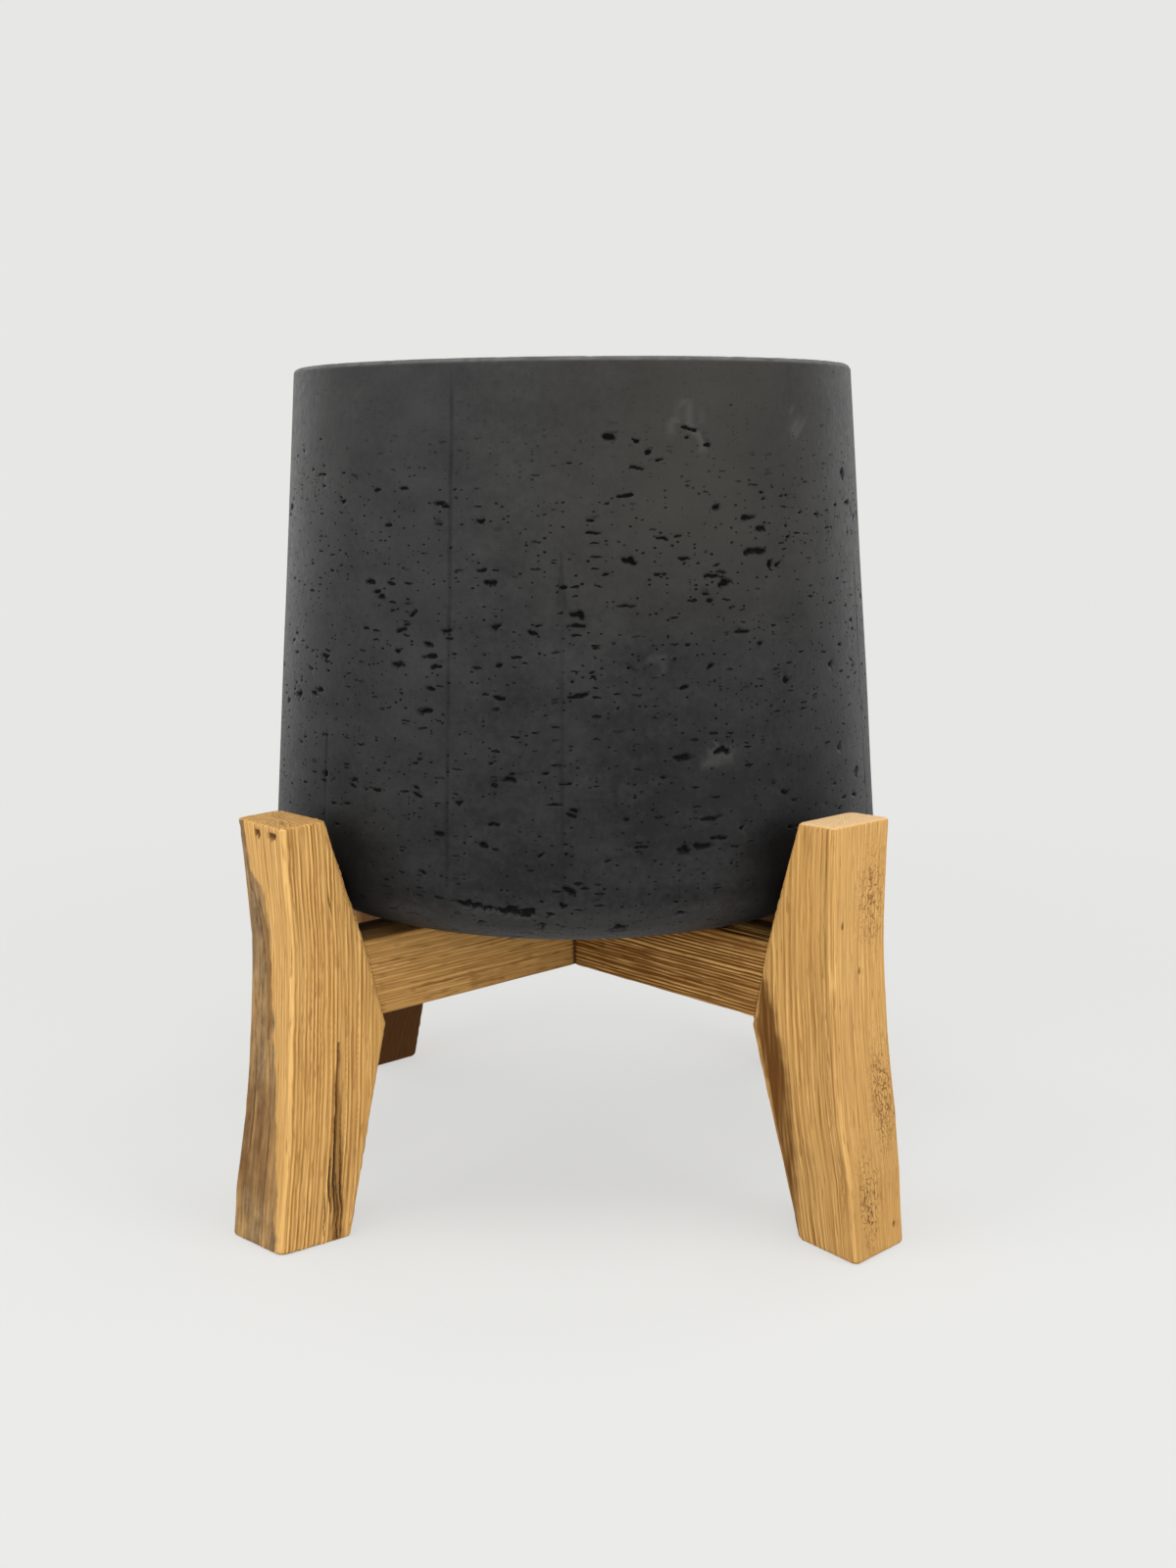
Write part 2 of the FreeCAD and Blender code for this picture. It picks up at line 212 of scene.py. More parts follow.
def streaks(tree, place, scale, detail=2.0, roughness=0.5):
    """Noise with its own scale along each axis."""
    return cloud(tree, stretched(tree, place, scale), 1, detail, roughness)


def ragged(tree, place, scale, amount):
    """Places pushed about by noise, by up to an amount in metres."""
    inputs = {0: cloud(tree, place, scale, output="Color"), 1: (amount, amount, amount), 2: place}
    return add_node(tree, "VectorMath", inputs, operation="MULTIPLY_ADD").outputs["Vector"]


def new_material(name):
    material = bpy.data.materials.new(name)
    material.use_nodes = True
    material.node_tree.nodes.clear()
    return material, material.node_tree


def finish_material(tree, colour, roughness, height, depth, specular=PLAIN_SPECULAR):
    """Join colour, roughness and bump to a surface. depth is the bump's height in metres."""
    bump = add_node(tree, "Bump", {"Strength": 1.0, "Distance": depth, "Height": height}).outputs["Normal"]
    inputs = {"Base Color": colour, "Roughness": roughness, "Specular IOR Level": specular, "Normal": bump}
    surface = add_node(tree, "BsdfPrincipled", inputs)
    add_node(tree, "OutputMaterial", {"Surface": surface.outputs["BSDF"]})


# Fibre clay

CLAY_DARK = (0.006, 0.006, 0.0065, 1)
CLAY_LIGHT = (0.036, 0.036, 0.0355, 1)
CLAY_WARM = (0.034, 0.030, 0.023, 1)
# Pale scuffs, and the painted highlight along the rim top.
CLAY_SCUFF_AND_HIGHLIGHT = (0.11, 0.11, 0.105, 1)
# Painted shade: black inside pits and pores and in the painted shadow beside the legs; grey as painted light
# on pit floors.
PIT_BLACK = (0.002, 0.002, 0.002, 1)
PIT_GREY = (0.012, 0.012, 0.012, 1)
CLAY_BUMP = 0.0004
CLAY_SPECULAR = 0.12
LARGEST_PORE = 0.33  # as a share of its cell


def unrolled_wall(tree):
    """Places on the pot laid flat: the way round it from the front, and the way up and out."""
    axes = add_node(tree, "SeparateXYZ", {0: own_place(tree)}).outputs
    squares = [compute(tree, "MULTIPLY", axes[name], axes[name]) for name in "XY"]
    reach = compute(tree, "SQRT", compute(tree, "ADD", *squares))
    turn = compute(tree, "ARCTAN2", axes["X"], compute(tree, "MULTIPLY", axes["Y"], -1.0))
    inputs = {
        "X": compute(tree, "MULTIPLY", turn, BELLY_RADIUS * MM),
        "Y": compute(tree, "ADD", axes["Z"], reach),
    }
    return add_node(tree, "CombineXYZ", inputs).outputs["Vector"]


def pores(tree, wall, cell, chance):
    """Pores on the unrolled wall, at most one to a cell: 1 inside them and 0 elsewhere."""
    scale = (1 / (cell[0] * MM), 1 / (cell[1] * MM), 1)
    inputs = {"Vector": stretched(tree, wall, scale), "Scale": 1.0}
    strewn = add_node(tree, "TexVoronoi", inputs, voronoi_dimensions="2D").outputs
    draw = add_node(tree, "SeparateColor", {"Color": strewn["Color"]}).outputs["Red"]
    size = remap(tree, draw, 1 - chance, 1.0, 0.0, LARGEST_PORE)
    return remap(tree, compute(tree, "SUBTRACT", size, strewn["Distance"]), 0.0, 0.05)


def make_fibre_clay():
    """Matte charcoal clay: cloudy, warmer in places, with pale scuffs. Pits and pores are painted black as
    shade, and the marks add painted light and a painted shadow.
    """
    material, tree = new_material("fibre_clay")
    mark = partial(read_mark, tree)
    place = own_place(tree)
    wall = unrolled_wall(tree)
    fine = cloud(tree, place, 300, detail=4, roughness=0.65)
    smears = streaks(tree, wall, (34, 60, 1), 4, 0.6)
    # Lightness from the vertex mark is partly painted light: lighter towards the top, round the heel and
    # along the rim top.
    tone_and_painted_light = compute(tree, "ADD", mark("tone_and_painted_light"), remap(tree, fine, 0.3, 0.7, -0.2, 0.2))
    tone_and_painted_light = compute(tree, "ADD", tone_and_painted_light, remap(tree, smears, 0.25, 0.75, -0.22, 0.22))
    colour = blend(tree, tone_and_painted_light, CLAY_DARK, CLAY_LIGHT)
    colour = blend(tree, mark("warm"), colour, CLAY_WARM)
    # Pale scuffs, and a painted highlight along the rim top.
    colour = blend(tree, mark("scuff"), colour, CLAY_SCUFF_AND_HIGHLIGHT)
    small = pores(tree, ragged(tree, wall, 900, 0.0008), (2.8, 1.4), 0.17)
    dashes = pores(tree, ragged(tree, wall, 420, 0.0018), (9, 1.9), 0.2)
    gathered = remap(tree, streaks(tree, wall, (30, 55, 1)), 0.4, 0.55)
    pore = compute(tree, "MAXIMUM", small, compute(tree, "MULTIPLY", dashes, gathered))
    pore = compute(tree, "MULTIPLY", pore, mark("porous"))
    crumbs = cloud(tree, place, 900)
    # Pits and pores are painted black as shade, with grey patches as painted light on their floors.
    torn_pit = compute(tree, "ADD", mark("pit"), remap(tree, crumbs, 0.3, 0.7, -0.2, 0.2))
    hole = compute(tree, "MAXIMUM", pore, remap(tree, torn_pit, 0.35, 0.6))
    inside = blend(tree, remap(tree, crumbs, 0.56, 0.7), PIT_BLACK, PIT_GREY)
    # The shade mark darkens towards black: a painted shadow beside the legs, and the seam and trowel lines.
    shade = mark("shade")
    colour = blend(tree, hole, blend(tree, shade, colour, PIT_BLACK), inside)
    height = compute(tree, "SUBTRACT", compute(tree, "MULTIPLY", fine, 0.5), pore)
    dull = remap(tree, compute(tree, "MAXIMUM", hole, shade), 0.0, 1.0, 0.0, 0.4)
    roughness = compute(tree, "ADD", remap(tree, fine, 0.3, 0.7, 0.5, 0.66), dull)
    finish_material(tree, colour, roughness, height, CLAY_BUMP, CLAY_SPECULAR)
    return material


# Rustic wood

WOOD_HOLLOW = (0.25, 0.11, 0.023, 1)
WOOD_RIDGE = (0.745, 0.45, 0.155, 1)
WOOD_PATCH = (0.56, 0.305, 0.083, 1)
WOOD_DASH = (0.27, 0.125, 0.033, 1)
WOOD_END = (0.92, 0.66, 0.38, 1)
# Also paints shade on the rear legs' inner faces and the bar tops under the pot.
WOOD_STAIN_AND_SHADE = (0.13, 0.046, 0.004, 1)
WOOD_WORM = (0.2, 0.085, 0.024, 1)
# Also paints shade on the rear legs' inner faces and the bar tops under the pot.
WOOD_CRACK_AND_SHADE = (0.035, 0.016, 0.005, 1)
GREY_DARK = (0.10, 0.058, 0.025, 1)
GREY_LIGHT = (0.32, 0.205, 0.098, 1)
WOOD_BUMP = 0.0003
WOOD_SPECULAR = 0.15


def make_rustic_wood():
    """Brushed softwood: pale ridges over darker hollows, grey weathering, cracks and dirt."""
    material, tree = new_material("rustic_wood")
    mark = partial(read_mark, tree)
    grain = add_node(tree, "Attribute", attribute_name="grain").outputs["Vector"]
    fibres = streaks(tree, grain, (1500, 1500, 28), 3, 0.6)
    dashes = streaks(tree, grain, (900, 900, 95), 1)
    patches = streaks(tree, grain, (55, 55, 12), 3)
    blotches = streaks(tree, grain, (230, 230, 120), 4, 0.65)
    worm = streaks(tree, grain, (420, 420, 260), 1)
    ridge = compute(tree, "ADD", mark("ridge"), remap(tree, fibres, 0.25, 0.75, -0.4, 0.4))
    spots = remap(tree, blotches, 0.35, 0.7, -0.2, 0.6)
    aged = compute(tree, "ADD", compute(tree, "MULTIPLY", ridge, 0.5), spots)
    track = compute(tree, "ABSOLUTE", compute(tree, "SUBTRACT", worm, 0.5))
    track = compute(tree, "MULTIPLY", remap(tree, track, 0.014, 0.034, 1.0, 0.0), mark("worm"))
    layers = [
        (remap(tree, patches, 0.35, 0.75, 0.0, 0.45), WOOD_PATCH),
        (remap(tree, dashes, 0.62, 0.72, 0.0, 0.55), WOOD_DASH),
        (mark("pale"), WOOD_END),
        (mark("weather"), blend(tree, aged, GREY_DARK, GREY_LIGHT)),
        # This mark also carries painted shade.
        (mark("stain_and_painted_shade"), WOOD_STAIN_AND_SHADE),
        (track, WOOD_WORM),
        # This mark also carries painted shade.
        (mark("crack_and_painted_shade"), WOOD_CRACK_AND_SHADE),
    ]
    colour = blend(tree, ridge, WOOD_HOLLOW, WOOD_RIDGE)
    for share, layer in layers:
        colour = blend(tree, share, colour, layer)
    height = compute(tree, "SUBTRACT", fibres, track)
    roughness = remap(tree, ridge, 0.0, 1.0, 0.78, 0.55)
    finish_material(tree, colour, roughness, height, WOOD_BUMP, WOOD_SPECULAR)
    return material


# Materials of the hidden pieces

BEECH_PALE = (0.62, 0.44, 0.26, 1)
BEECH_FLECK = (0.46, 0.29, 0.15, 1)
BEECH_ROUGHNESS = 0.6
BEECH_BUMP = 0.0001
RUBBER_BLACK = (0.012, 0.012, 0.012, 1)
RUBBER_DUST = (0.045, 0.043, 0.04, 1)
RUBBER_BUMP = 0.0002


def make_plain_wood():
    """Turned beech for the dowels: even and pale, with short flecks."""
    material, tree = new_material("dowel_wood")
    flecks = cloud(tree, stretched(tree, own_place(tree), (1, 1, 3)), 420, detail=3)
    colour = blend(tree, remap(tree, flecks, 0.35, 0.7), BEECH_PALE, BEECH_FLECK)
    finish_material(tree, colour, BEECH_ROUGHNESS, flecks, BEECH_BUMP)
    return material


def make_rubber():
    """Dull black rubber with a dusty bloom."""
    material, tree = new_material("rubber_bung")
    dust = cloud(tree, own_place(tree), 180, detail=4, roughness=0.7)
    colour = blend(tree, remap(tree, dust, 0.4, 0.75), RUBBER_BLACK, RUBBER_DUST)
    finish_material(tree, colour, remap(tree, dust, 0.3, 0.7, 0.55, 0.8), dust, RUBBER_BUMP)
    return material


# Pieces


def add_object(name, data):
    made = bpy.data.objects.new(name, data)
    bpy.context.scene.collection.objects.link(made)
    return made


def add_piece(name, vertices, faces, material, marks):
    """A smooth mesh from places in millimetres, with a number at each vertex for each mark."""
    mesh = bpy.data.meshes.new(name)
    mesh.from_pydata((vertices * MM).tolist(), [], faces)
    mesh.polygons.foreach_set("use_smooth", [True] * len(mesh.polygons))
    for mark, values in marks.items():
        stored = mesh.attributes.new(mark, "FLOAT", "POINT")
        stored.data.foreach_set("value", np.asarray(values, np.float32))
    mesh.materials.append(material)
    return add_object(name, mesh)


def closed_grid(rows, columns, first=0):
    """Vertex numbers of a grid whose last column is the first one again."""
    numbers = first + np.arange(rows * columns).reshape(rows, columns)
    return np.hstack([numbers, numbers[:, :1]])


def quads(grid):
    """Faces between the rows and columns of a grid of vertex numbers."""
    corners = [grid[:-1, :-1], grid[:-1, 1:], grid[1:, 1:], grid[1:, :-1]]
    return np.stack(corners, axis=2).reshape(-1, 4).tolist()


def stand_for(piece, node, body):
    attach(piece, body)
    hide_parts(node)


# Pot: its section and its grid

COLUMNS = 300
ROWS = 106
FINER = 5  # a cell with a pit in it is cut into this many cells each way
FINE_COLUMNS = COLUMNS * FINER
FINE_ROWS = ROWS * FINER + 1
HEEL_STEPS = 40
RIM_STEPS = 7
INNER_WALL_STEPS = 12
FLOOR_STEPS = 8
UNDERSIDE_STEPS = 6
EVERY_FIFTH = slice(5, None, 5)


def bowl_curve(floor, belly, heel):
    """Half a bowl's section, from its flat floor out round the heel to the belly."""
    heel_centre = (belly - heel, BELLY_HEIGHT)
    drop = BELLY_HEIGHT - floor
    run = heel_centre[0] - BASE_RADIUS
    sole = (run**2 + drop**2 - heel**2) / (2 * (drop - heel))
    sole_centre = (BASE_RADIUS, floor + sole)
    meeting = math.atan2(heel_centre[1] - sole_centre[1], heel_centre[0] - sole_centre[0])
    sole_arc = arc_points(sole_centre, sole, -math.pi / 2, meeting, HEEL_STEPS)
    heel_arc = arc_points(heel_centre, heel, meeting, 0, HEEL_STEPS)
    return np.vstack([sole_arc, heel_arc[1:]])


def pot_section():
    """The pot's half section: its outside, and the rest from the rim round to the base's edge."""
    wall_height = POT_HEIGHT - BELLY_HEIGHT
    slant = math.atan2(RIM_TAPER, wall_height)
    shoulder = POT_HEIGHT - RIM_ROUNDING
    wall_there = BELLY_RADIUS - RIM_TAPER * (shoulder - BELLY_HEIGHT) / wall_height
    outer_centre = (wall_there - RIM_ROUNDING / math.cos(slant), shoulder)
    inner_centre = (wall_there - WALL + RIM_ROUNDING / math.cos(slant), shoulder)
    outer_rim = arc_points(outer_centre, RIM_ROUNDING, slant, math.pi / 2, RIM_STEPS)
    inner_rim = arc_points(inner_centre, RIM_ROUNDING, math.pi / 2, math.pi + slant, RIM_STEPS)
    outside = np.vstack([bowl_curve(0, BELLY_RADIUS, HEEL_RADIUS), outer_rim[:1]])
    inside = bowl_curve(FLOOR, BELLY_RADIUS - WALL, CAVITY_HEEL_RADIUS)[::-1]
    inner_wall = spaced_points(np.vstack([inner_rim[-1:], inside[:1]]), INNER_WALL_STEPS)
    floor = np.linspace((BASE_RADIUS, FLOOR), (DRAIN_UPPER_RADIUS, FLOOR), FLOOR_STEPS)
    underside = np.linspace((DRAIN_LOWER_RADIUS, 0), (BASE_RADIUS, 0), UNDERSIDE_STEPS)
    rest = [outer_rim[1:], inner_rim, inner_wall[1:], inside[EVERY_FIFTH], floor[1:], underside[:-1]]
    return outside, np.vstack(rest)


# Larger pits on the front, from the rim down: angle about the axis in degrees, height, width and
# thickness in millimetres, and the slope of their length in degrees.
LARGE_PITS = [
    (-81, 224.5, 6.4, 3.2, -8), (-76, 223, 4.6, 1.7, -5), (-62.5, 221, 4, 1.7, -8),
    (-74, 218, 3.6, 2, 10), (-72, 215, 4.6, 1.3, 20), (-76, 212, 8.4, 1.5, -12),
    (-23, 207.5, 5.6, 5, -40), (-125.5, 203, 4.4, 1.6, 0), (-78, 200.5, 7.8, 1.6, 8),
    (-61, 195, 4.8, 3, -6), (-84.5, 190, 5, 1.4, 0), (-122.5, 188, 5, 1.7, 0), (-84, 185, 7, 1.4, 0),
    (-51.5, 185, 7.6, 2.4, -8), (-71.5, 182, 7.4, 1.6, -6), (-77.5, 173, 7, 3.4, -10),
    (-103.5, 169.5, 6.2, 1.5, 6), (-49.5, 169.5, 4.2, 3.4, -30), (-60.5, 167, 7, 1.2, -6),
    (-89, 162.5, 4.4, 1.8, 0), (-60, 162.5, 7.6, 3.8, 12), (-63, 155.5, 3.4, 1.8, 0),
    (-78.5, 154, 9, 1.3, 0), (-86.5, 150.5, 7.4, 3.6, -6), (-117, 150, 5.5, 1.6, 25),
    (-87, 146, 8.2, 2, -4), (-94.5, 143, 5.8, 2, -12), (-52.5, 135.5, 3.6, 1.8, 0),
    (-120, 134, 4.4, 1.6, 0), (-100.3, 129, 4.4, 2, 12), (-120, 128, 7.4, 2.6, -10),
    (-33, 122.5, 5, 2.2, 10), (-46.5, 118, 4.4, 3.4, -10), (-86.5, 116.5, 9.4, 2.4, 4),
    (-114, 108.5, 9, 2.8, -4), (-31, 84, 4, 3, 30), (-101, 78, 3.4, 1.8, -10), (-138, 75, 4.4, 3, 45),
    (-115.5, 75, 3.8, 1.6, -8), (-130, 72, 6, 1.6, -4), (-124, 72, 5, 1.4, -8),
    (-107.5, 70, 6.4, 1.4, 0), (-91, 70, 8.4, 1, 2), (-23.5, 69.5, 5.4, 4.6, 40),
    (-88.2, 65.5, 5, 1.8, -20), (-64, 61.5, 12, 1.5, 4), (-101.3, 61, 5.5, 2, -4),
    (-110.7, 56, 5.3, 2, 0), (-58, 56, 3.2, 1.8, 10), (-62.5, 52.5, 10, 1.4, -2),
    (-103, 52, 6.2, 2.6, -14), (-76.5, 51, 7.2, 1.2, 0), (-65.5, 49.5, 11, 2.6, -2),
    (-69, 48.3, 6, 4, -10), (-114, 38, 5, 1.4, -35), (-88.4, 33, 5.8, 4, -10),
    (-89.5, 26, 5, 2.6, -15), (-104.8, 24.5, 19, 5, -8), (-97.2, 22.5, 19, 7, 0),
    (-91.8, 22, 5.4, 2.2, -4), (-69.5, 19, 6.5, 3.5, 4), (-104, 15.5, 5.5, 4.5, 0),
    (-93.3, 15.5, 6.5, 5, 0), (-80, 12.5, 8.5, 8, 0),
]
SCATTERED_PITS = 560
PIT_SEED = 21

# Upright seams of the mould: angle in degrees, and the heights where they start and end.
SEAMS = [(-138, 50, 96), (-109.5, 20, 258), (-89.5, 16, 150), (-18, 30, 170), (34, 60, 230), (118, 70, 225)]
TROWEL_ANGLE = -89.5
TROWEL_LOW, TROWEL_HIGH = 146, 177
TROWEL_WIDTH = 4.0

# Pale scuffs: angle in degrees, height and radius in millimetres.
SCUFFS = [(-66, 232, 9), (-63.5, 224, 6), (-61, 89.5, 7), (-63, 88, 5), (-73, 132, 6), (-42, 228, 8)]
SCUFFS += [(15, 190, 9), (140, 120, 10), (95, 215, 7)]


def scattered_pits(random):
    """Smaller pits all round, in short level groups, few of them near the rim."""
    pits = []
    while len(pits) < SCATTERED_PITS:
        angle = random.uniform(-180, 180)
        height = random.uniform(6, POT_HEIGHT - 8)
        if random.random() > 0.06 + 0.94 * ramp(10, 75, POT_HEIGHT - height):
            continue
        for _ in range(random.integers(1, 5)):
            width = np.clip(3.2 * random.lognormal(0.0, 0.5), 1.8, 9)
            place = (angle + random.normal(0, 5), np.clip(height + random.normal(0, 4), 5, POT_HEIGHT - 6))
            thickness = max(width * random.uniform(0.18, 0.42), 0.9)
            pits.append((*place, width, thickness, random.normal(0, 8)))
    return pits


def bring_up(layer, spot, values):
    """Raise a layer at a spot to the given values, where it is lower."""
    layer[spot] = np.maximum(layer[spot], values)


class PotSkin:
    """The outside of the pot as a fine grid, with a depth and marks at each place."""

    def __init__(self, outside):
        curve = spaced_points(outside, FINE_ROWS)
        self.radius, self.height = curve.T
        slope = np.gradient(curve, axis=0)
        slope /= np.hypot(*slope.T)[:, None]
        self.normal = np.column_stack([slope[:, 1], -slope[:, 0]])
        self.along = np.linspace(0, 1, FINE_ROWS) * np.hypot(*np.diff(outside, axis=0).T).sum()
        self.angle = np.linspace(-math.pi, math.pi, FINE_COLUMNS, endpoint=False)
        self.depth, self.pit, self.scuff, self.shade = np.zeros((4, FINE_ROWS, FINE_COLUMNS))

    def window(self, angle, height, reach_across, reach_up):
        """Rows and columns around a place, and the distances from it across and up."""
        near = np.nonzero(np.abs(self.height - height) < reach_up)[0]
        step = 2 * math.pi * np.interp(height, self.height, self.radius) / FINE_COLUMNS
        centre = (math.radians(angle) + math.pi) / (2 * math.pi) * FINE_COLUMNS
        count = int(reach_across / step) + 1
        columns = np.arange(int(centre) - count, int(centre) + count + 2)
        across = (columns - centre) * step
        up = self.along[near] - np.interp(height, self.height, self.along)
        return (near[:, None], columns[None, :] % FINE_COLUMNS), across[None, :], up[:, None]

    def add_pit(self, angle, height, width, thickness, slope):
        """A ragged hollow, longer than it is high. Its mark paints it black as shade, with a paler painted
        lit floor if it is thick.
        """
        spot, across, up = self.window(angle, height, width, width * 0.5 + thickness)
        turn = math.radians(slope)
        long_way = across * math.cos(turn) + up * math.sin(turn)
        short_way = up * math.cos(turn) - across * math.sin(turn)
        short_way = short_way + 0.3 * thickness * noise(long_way * 0.45, angle, height)
        away = np.hypot(long_way / (width / 2), short_way / (thickness / 2))
        away = away + 0.35 * noise(across * 0.5 + angle, up * 0.9 + height)
        hollow = 1 - ramp(0.6, 1.1, away)
        deep = min(0.45 + 0.45 * thickness, 2.0)
        # Painted light: the lower part of a thick pit's floor stays paler, as if lit from above.
        lit_floor = ramp(1.6, 2.6, thickness) * (1 - ramp(-0.3, 0.1, short_way / thickness))
        bring_up(self.depth, spot, deep * hollow)
        bring_up(self.pit, spot, hollow * (1 - 0.48 * lit_floor))

    def add_seam(self, angle, low, high):
        """A faint upright line where two strips of the mould met."""
        half = (high - low) / 2
        spot, across, up = self.window(angle, (low + high) / 2, 4, half)
        wander = 0.5 * noise(up / 22, angle) + 0.2 * noise(up / 5, angle)
        shown = np.clip(0.75 + 0.5 * noise(up / 9, angle, 4), 0, 1)
        line = np.exp(-(((across - wander) / 1.1) ** 2)) * shown
        line *= (1 - ramp(0.85, 1, np.abs(up) / half)) * (line > 0.25)
        bring_up(self.depth, spot, 0.15 * line)
        bring_up(self.shade, spot, 0.36 * line)

    def add_trowel_mark(self):
        """A shallow wedge that widens downwards and runs into a seam."""
        middle, half = (TROWEL_LOW + TROWEL_HIGH) / 2, (TROWEL_HIGH - TROWEL_LOW) / 2
        spot, across, up = self.window(TROWEL_ANGLE, middle, TROWEL_WIDTH + 2, half)
        width = TROWEL_WIDTH * (half - up) / (2 * half)
        inside = 1 - ramp(0.7, 1.0, np.abs(across) / np.maximum(width, 0.3))
        inside = inside * ramp(0, 0.5, (up + half) / (2 * half))
        bring_up(self.depth, spot, 0.3 * inside)
        bring_up(self.shade, spot, 0.3 * inside)

    def add_scuff(self, angle, height, radius):
        """A ragged pale blotch."""
        spot, across, up = self.window(angle, height, 1.3 * radius, 1.3 * radius)
        away = np.hypot(across, up) / radius + 0.7 * noise(across / 3 + angle, up / 4, height)
        away = away + 0.5 * noise(across / 1.2, up / 1.6 + angle, height)
        bring_up(self.scuff, spot, 0.2 * (1 - ramp(0.3, 0.7, away)))

    def places(self):
        """Places in space, in millimetres, of the whole grid."""
        angle, height = self.angle[None, :], self.height[:, None]
        sway = 0.3 * noise(2.2 * np.cos(angle) + 9, 2.2 * np.sin(angle), height / 55)
        out = sway * ramp(0, 5, height) - self.depth
        reach = self.radius[:, None] + self.normal[:, :1] * out
        return turned_places(angle, reach, height + self.normal[:, 1:] * out)


def turned_places(angle, reach, height):
    """Places on the pot from angles in radians, distances from the axis and heights."""
    places = np.stack([reach * np.cos(angle), reach * np.sin(angle), POT_UNDERSIDE + height], axis=2)
    return places.reshape(-1, 3)


def pitted_skin(outside):
    """The outside with all that is in it. Its first and last rows stay plain, to meet the rim and base."""
    skin = PotSkin(outside)
    for pit in LARGE_PITS + scattered_pits(np.random.default_rng(PIT_SEED)):
        skin.add_pit(*pit)
    for seam in SEAMS:
        skin.add_seam(*seam)
    skin.add_trowel_mark()
    for scuff in SCUFFS:
        skin.add_scuff(*scuff)
    for edge in (slice(0, FINER + 1), slice(-FINER - 1, None)):
        skin.depth[edge] = 0
    return skin


def skin_faces(skin):
    """Faces of the pot's outside: small ones in cells with a pit. A large one also takes the vertices
    that finer cells beside it put on its sides."""
    numbers = closed_grid(FINE_ROWS, FINE_COLUMNS)
    sunk = np.hstack([skin.depth, skin.depth[:, :1]]) > 0
    fine = np.zeros((ROWS, COLUMNS), bool)
    for row, column in np.ndindex(FINER + 1, FINER + 1):
        fine |= sunk[row : row + ROWS * FINER : FINER, column : column + FINE_COLUMNS : FINER]
    # Whether the cells below, to the right, above and to the left are fine, as a cell's sides go.
    padded = np.pad(fine, ((1, 1), (0, 0)))
    beside = [padded[:-2], np.roll(fine, -1, axis=1), padded[2:], np.roll(fine, 1, axis=1)]
    faces = []
    for row, column in np.ndindex(ROWS, COLUMNS):
        low, left = row * FINER, column * FINER
        cell = numbers[low : low + FINER + 1, left : left + FINER + 1]
        if fine[row, column]:
            faces += quads(cell)
            continue
        sides = [cell[0, :-1], cell[:-1, -1], cell[-1, :0:-1], cell[:0:-1, 0]]
        kept = [side if near[row, column] else side[:1] for side, near in zip(sides, beside)]
        faces.append(np.concatenate(kept))
    return faces


def rest_places(rest):
    """Places of the rim, the inside and the underside. The rim is a little uneven."""
    angle = np.linspace(-math.pi, math.pi, COLUMNS, endpoint=False)[None, :]
    radius, height = rest[:, :1], rest[:, 1:]
    rough = 0.22 * noise(40 * np.cos(angle), 40 * np.sin(angle), np.arange(len(rest))[:, None])
    rough = rough * (height > POT_HEIGHT - RIM_ROUNDING - 1)
    return turned_places(angle, radius + rough, height + np.minimum(rough, 0))


def rest_faces(count):
    """Faces from the skin's top row over the rim and through the inside back to its first row."""
    skin = closed_grid(FINE_ROWS, FINE_COLUMNS)[:, ::FINER]
    rest = closed_grid(count, COLUMNS, FINE_ROWS * FINE_COLUMNS)
    return quads(np.vstack([skin[-1:], rest, skin[:1]]))


def make_pot(material):
    """The pot as one closed skin: pitted outside, rim, cavity, floor with drain hole, underside."""
    outside, rest = pot_section()
    skin = pitted_skin(outside)
    faces = skin_faces(skin) + rest_faces(len(rest))
    used, corners = np.unique(np.concatenate(faces), return_inverse=True)
    ends = np.cumsum([len(face) for face in faces])[:-1]
    faces = [part.tolist() for part in np.split(corners, ends)]
    vertices = np.vstack([skin.places(), rest_places(rest)])[used]
    plain = np.zeros(len(rest) * COLUMNS)
    pit, scuff, shade = (
        np.concatenate([layer.ravel(), plain])[used] for layer in (skin.pit, skin.scuff, skin.shade)
    )
    marks = {
        "pit": pit,
        # Pale scuffs, and a painted highlight along the rim top.
        "scuff": scuff + rim_wear_and_highlight(vertices),
        # Seam and trowel lines, and a painted shadow beside the legs.
        "shade": np.maximum(shade, painted_leg_shadow(vertices)),
        **clay_tones(vertices),
    }
    stand_for(add_piece("pot_shell", vertices, faces, material, marks), "pot", "pot")


def rim_wear_and_highlight(vertices):
    """Pale, chipped clay along the top of the rim: partly wear, partly a painted highlight on the rim top.
    """
    x, y, z = vertices.T
    chips = noise(x / 3, y / 3, 2.5) + 0.5 * noise(x, y, 7.5)
    return ramp(POT_HEIGHT - 2.2, POT_HEIGHT - 1.0, z - POT_UNDERSIDE) * np.clip(0.8 + 0.5 * chips, 0, 1)


def painted_leg_shadow(vertices):
    """Painted shadow: dark clay where the legs stand close to the wall."""
    x, y, z = vertices.T
    height = z - POT_UNDERSIDE
    turn = np.degrees(np.arctan2(y, x))
    aside = np.min([np.abs((turn - angle + 180) % 360 - 180) for angle in LEG_ANGLES.values()], axis=0)
    outside = np.hypot(x, y) > BELLY_RADIUS - 20
    return 0.72 * (1 - ramp(6, 20, aside)) * (1 - ramp(24, 74, height)) * outside


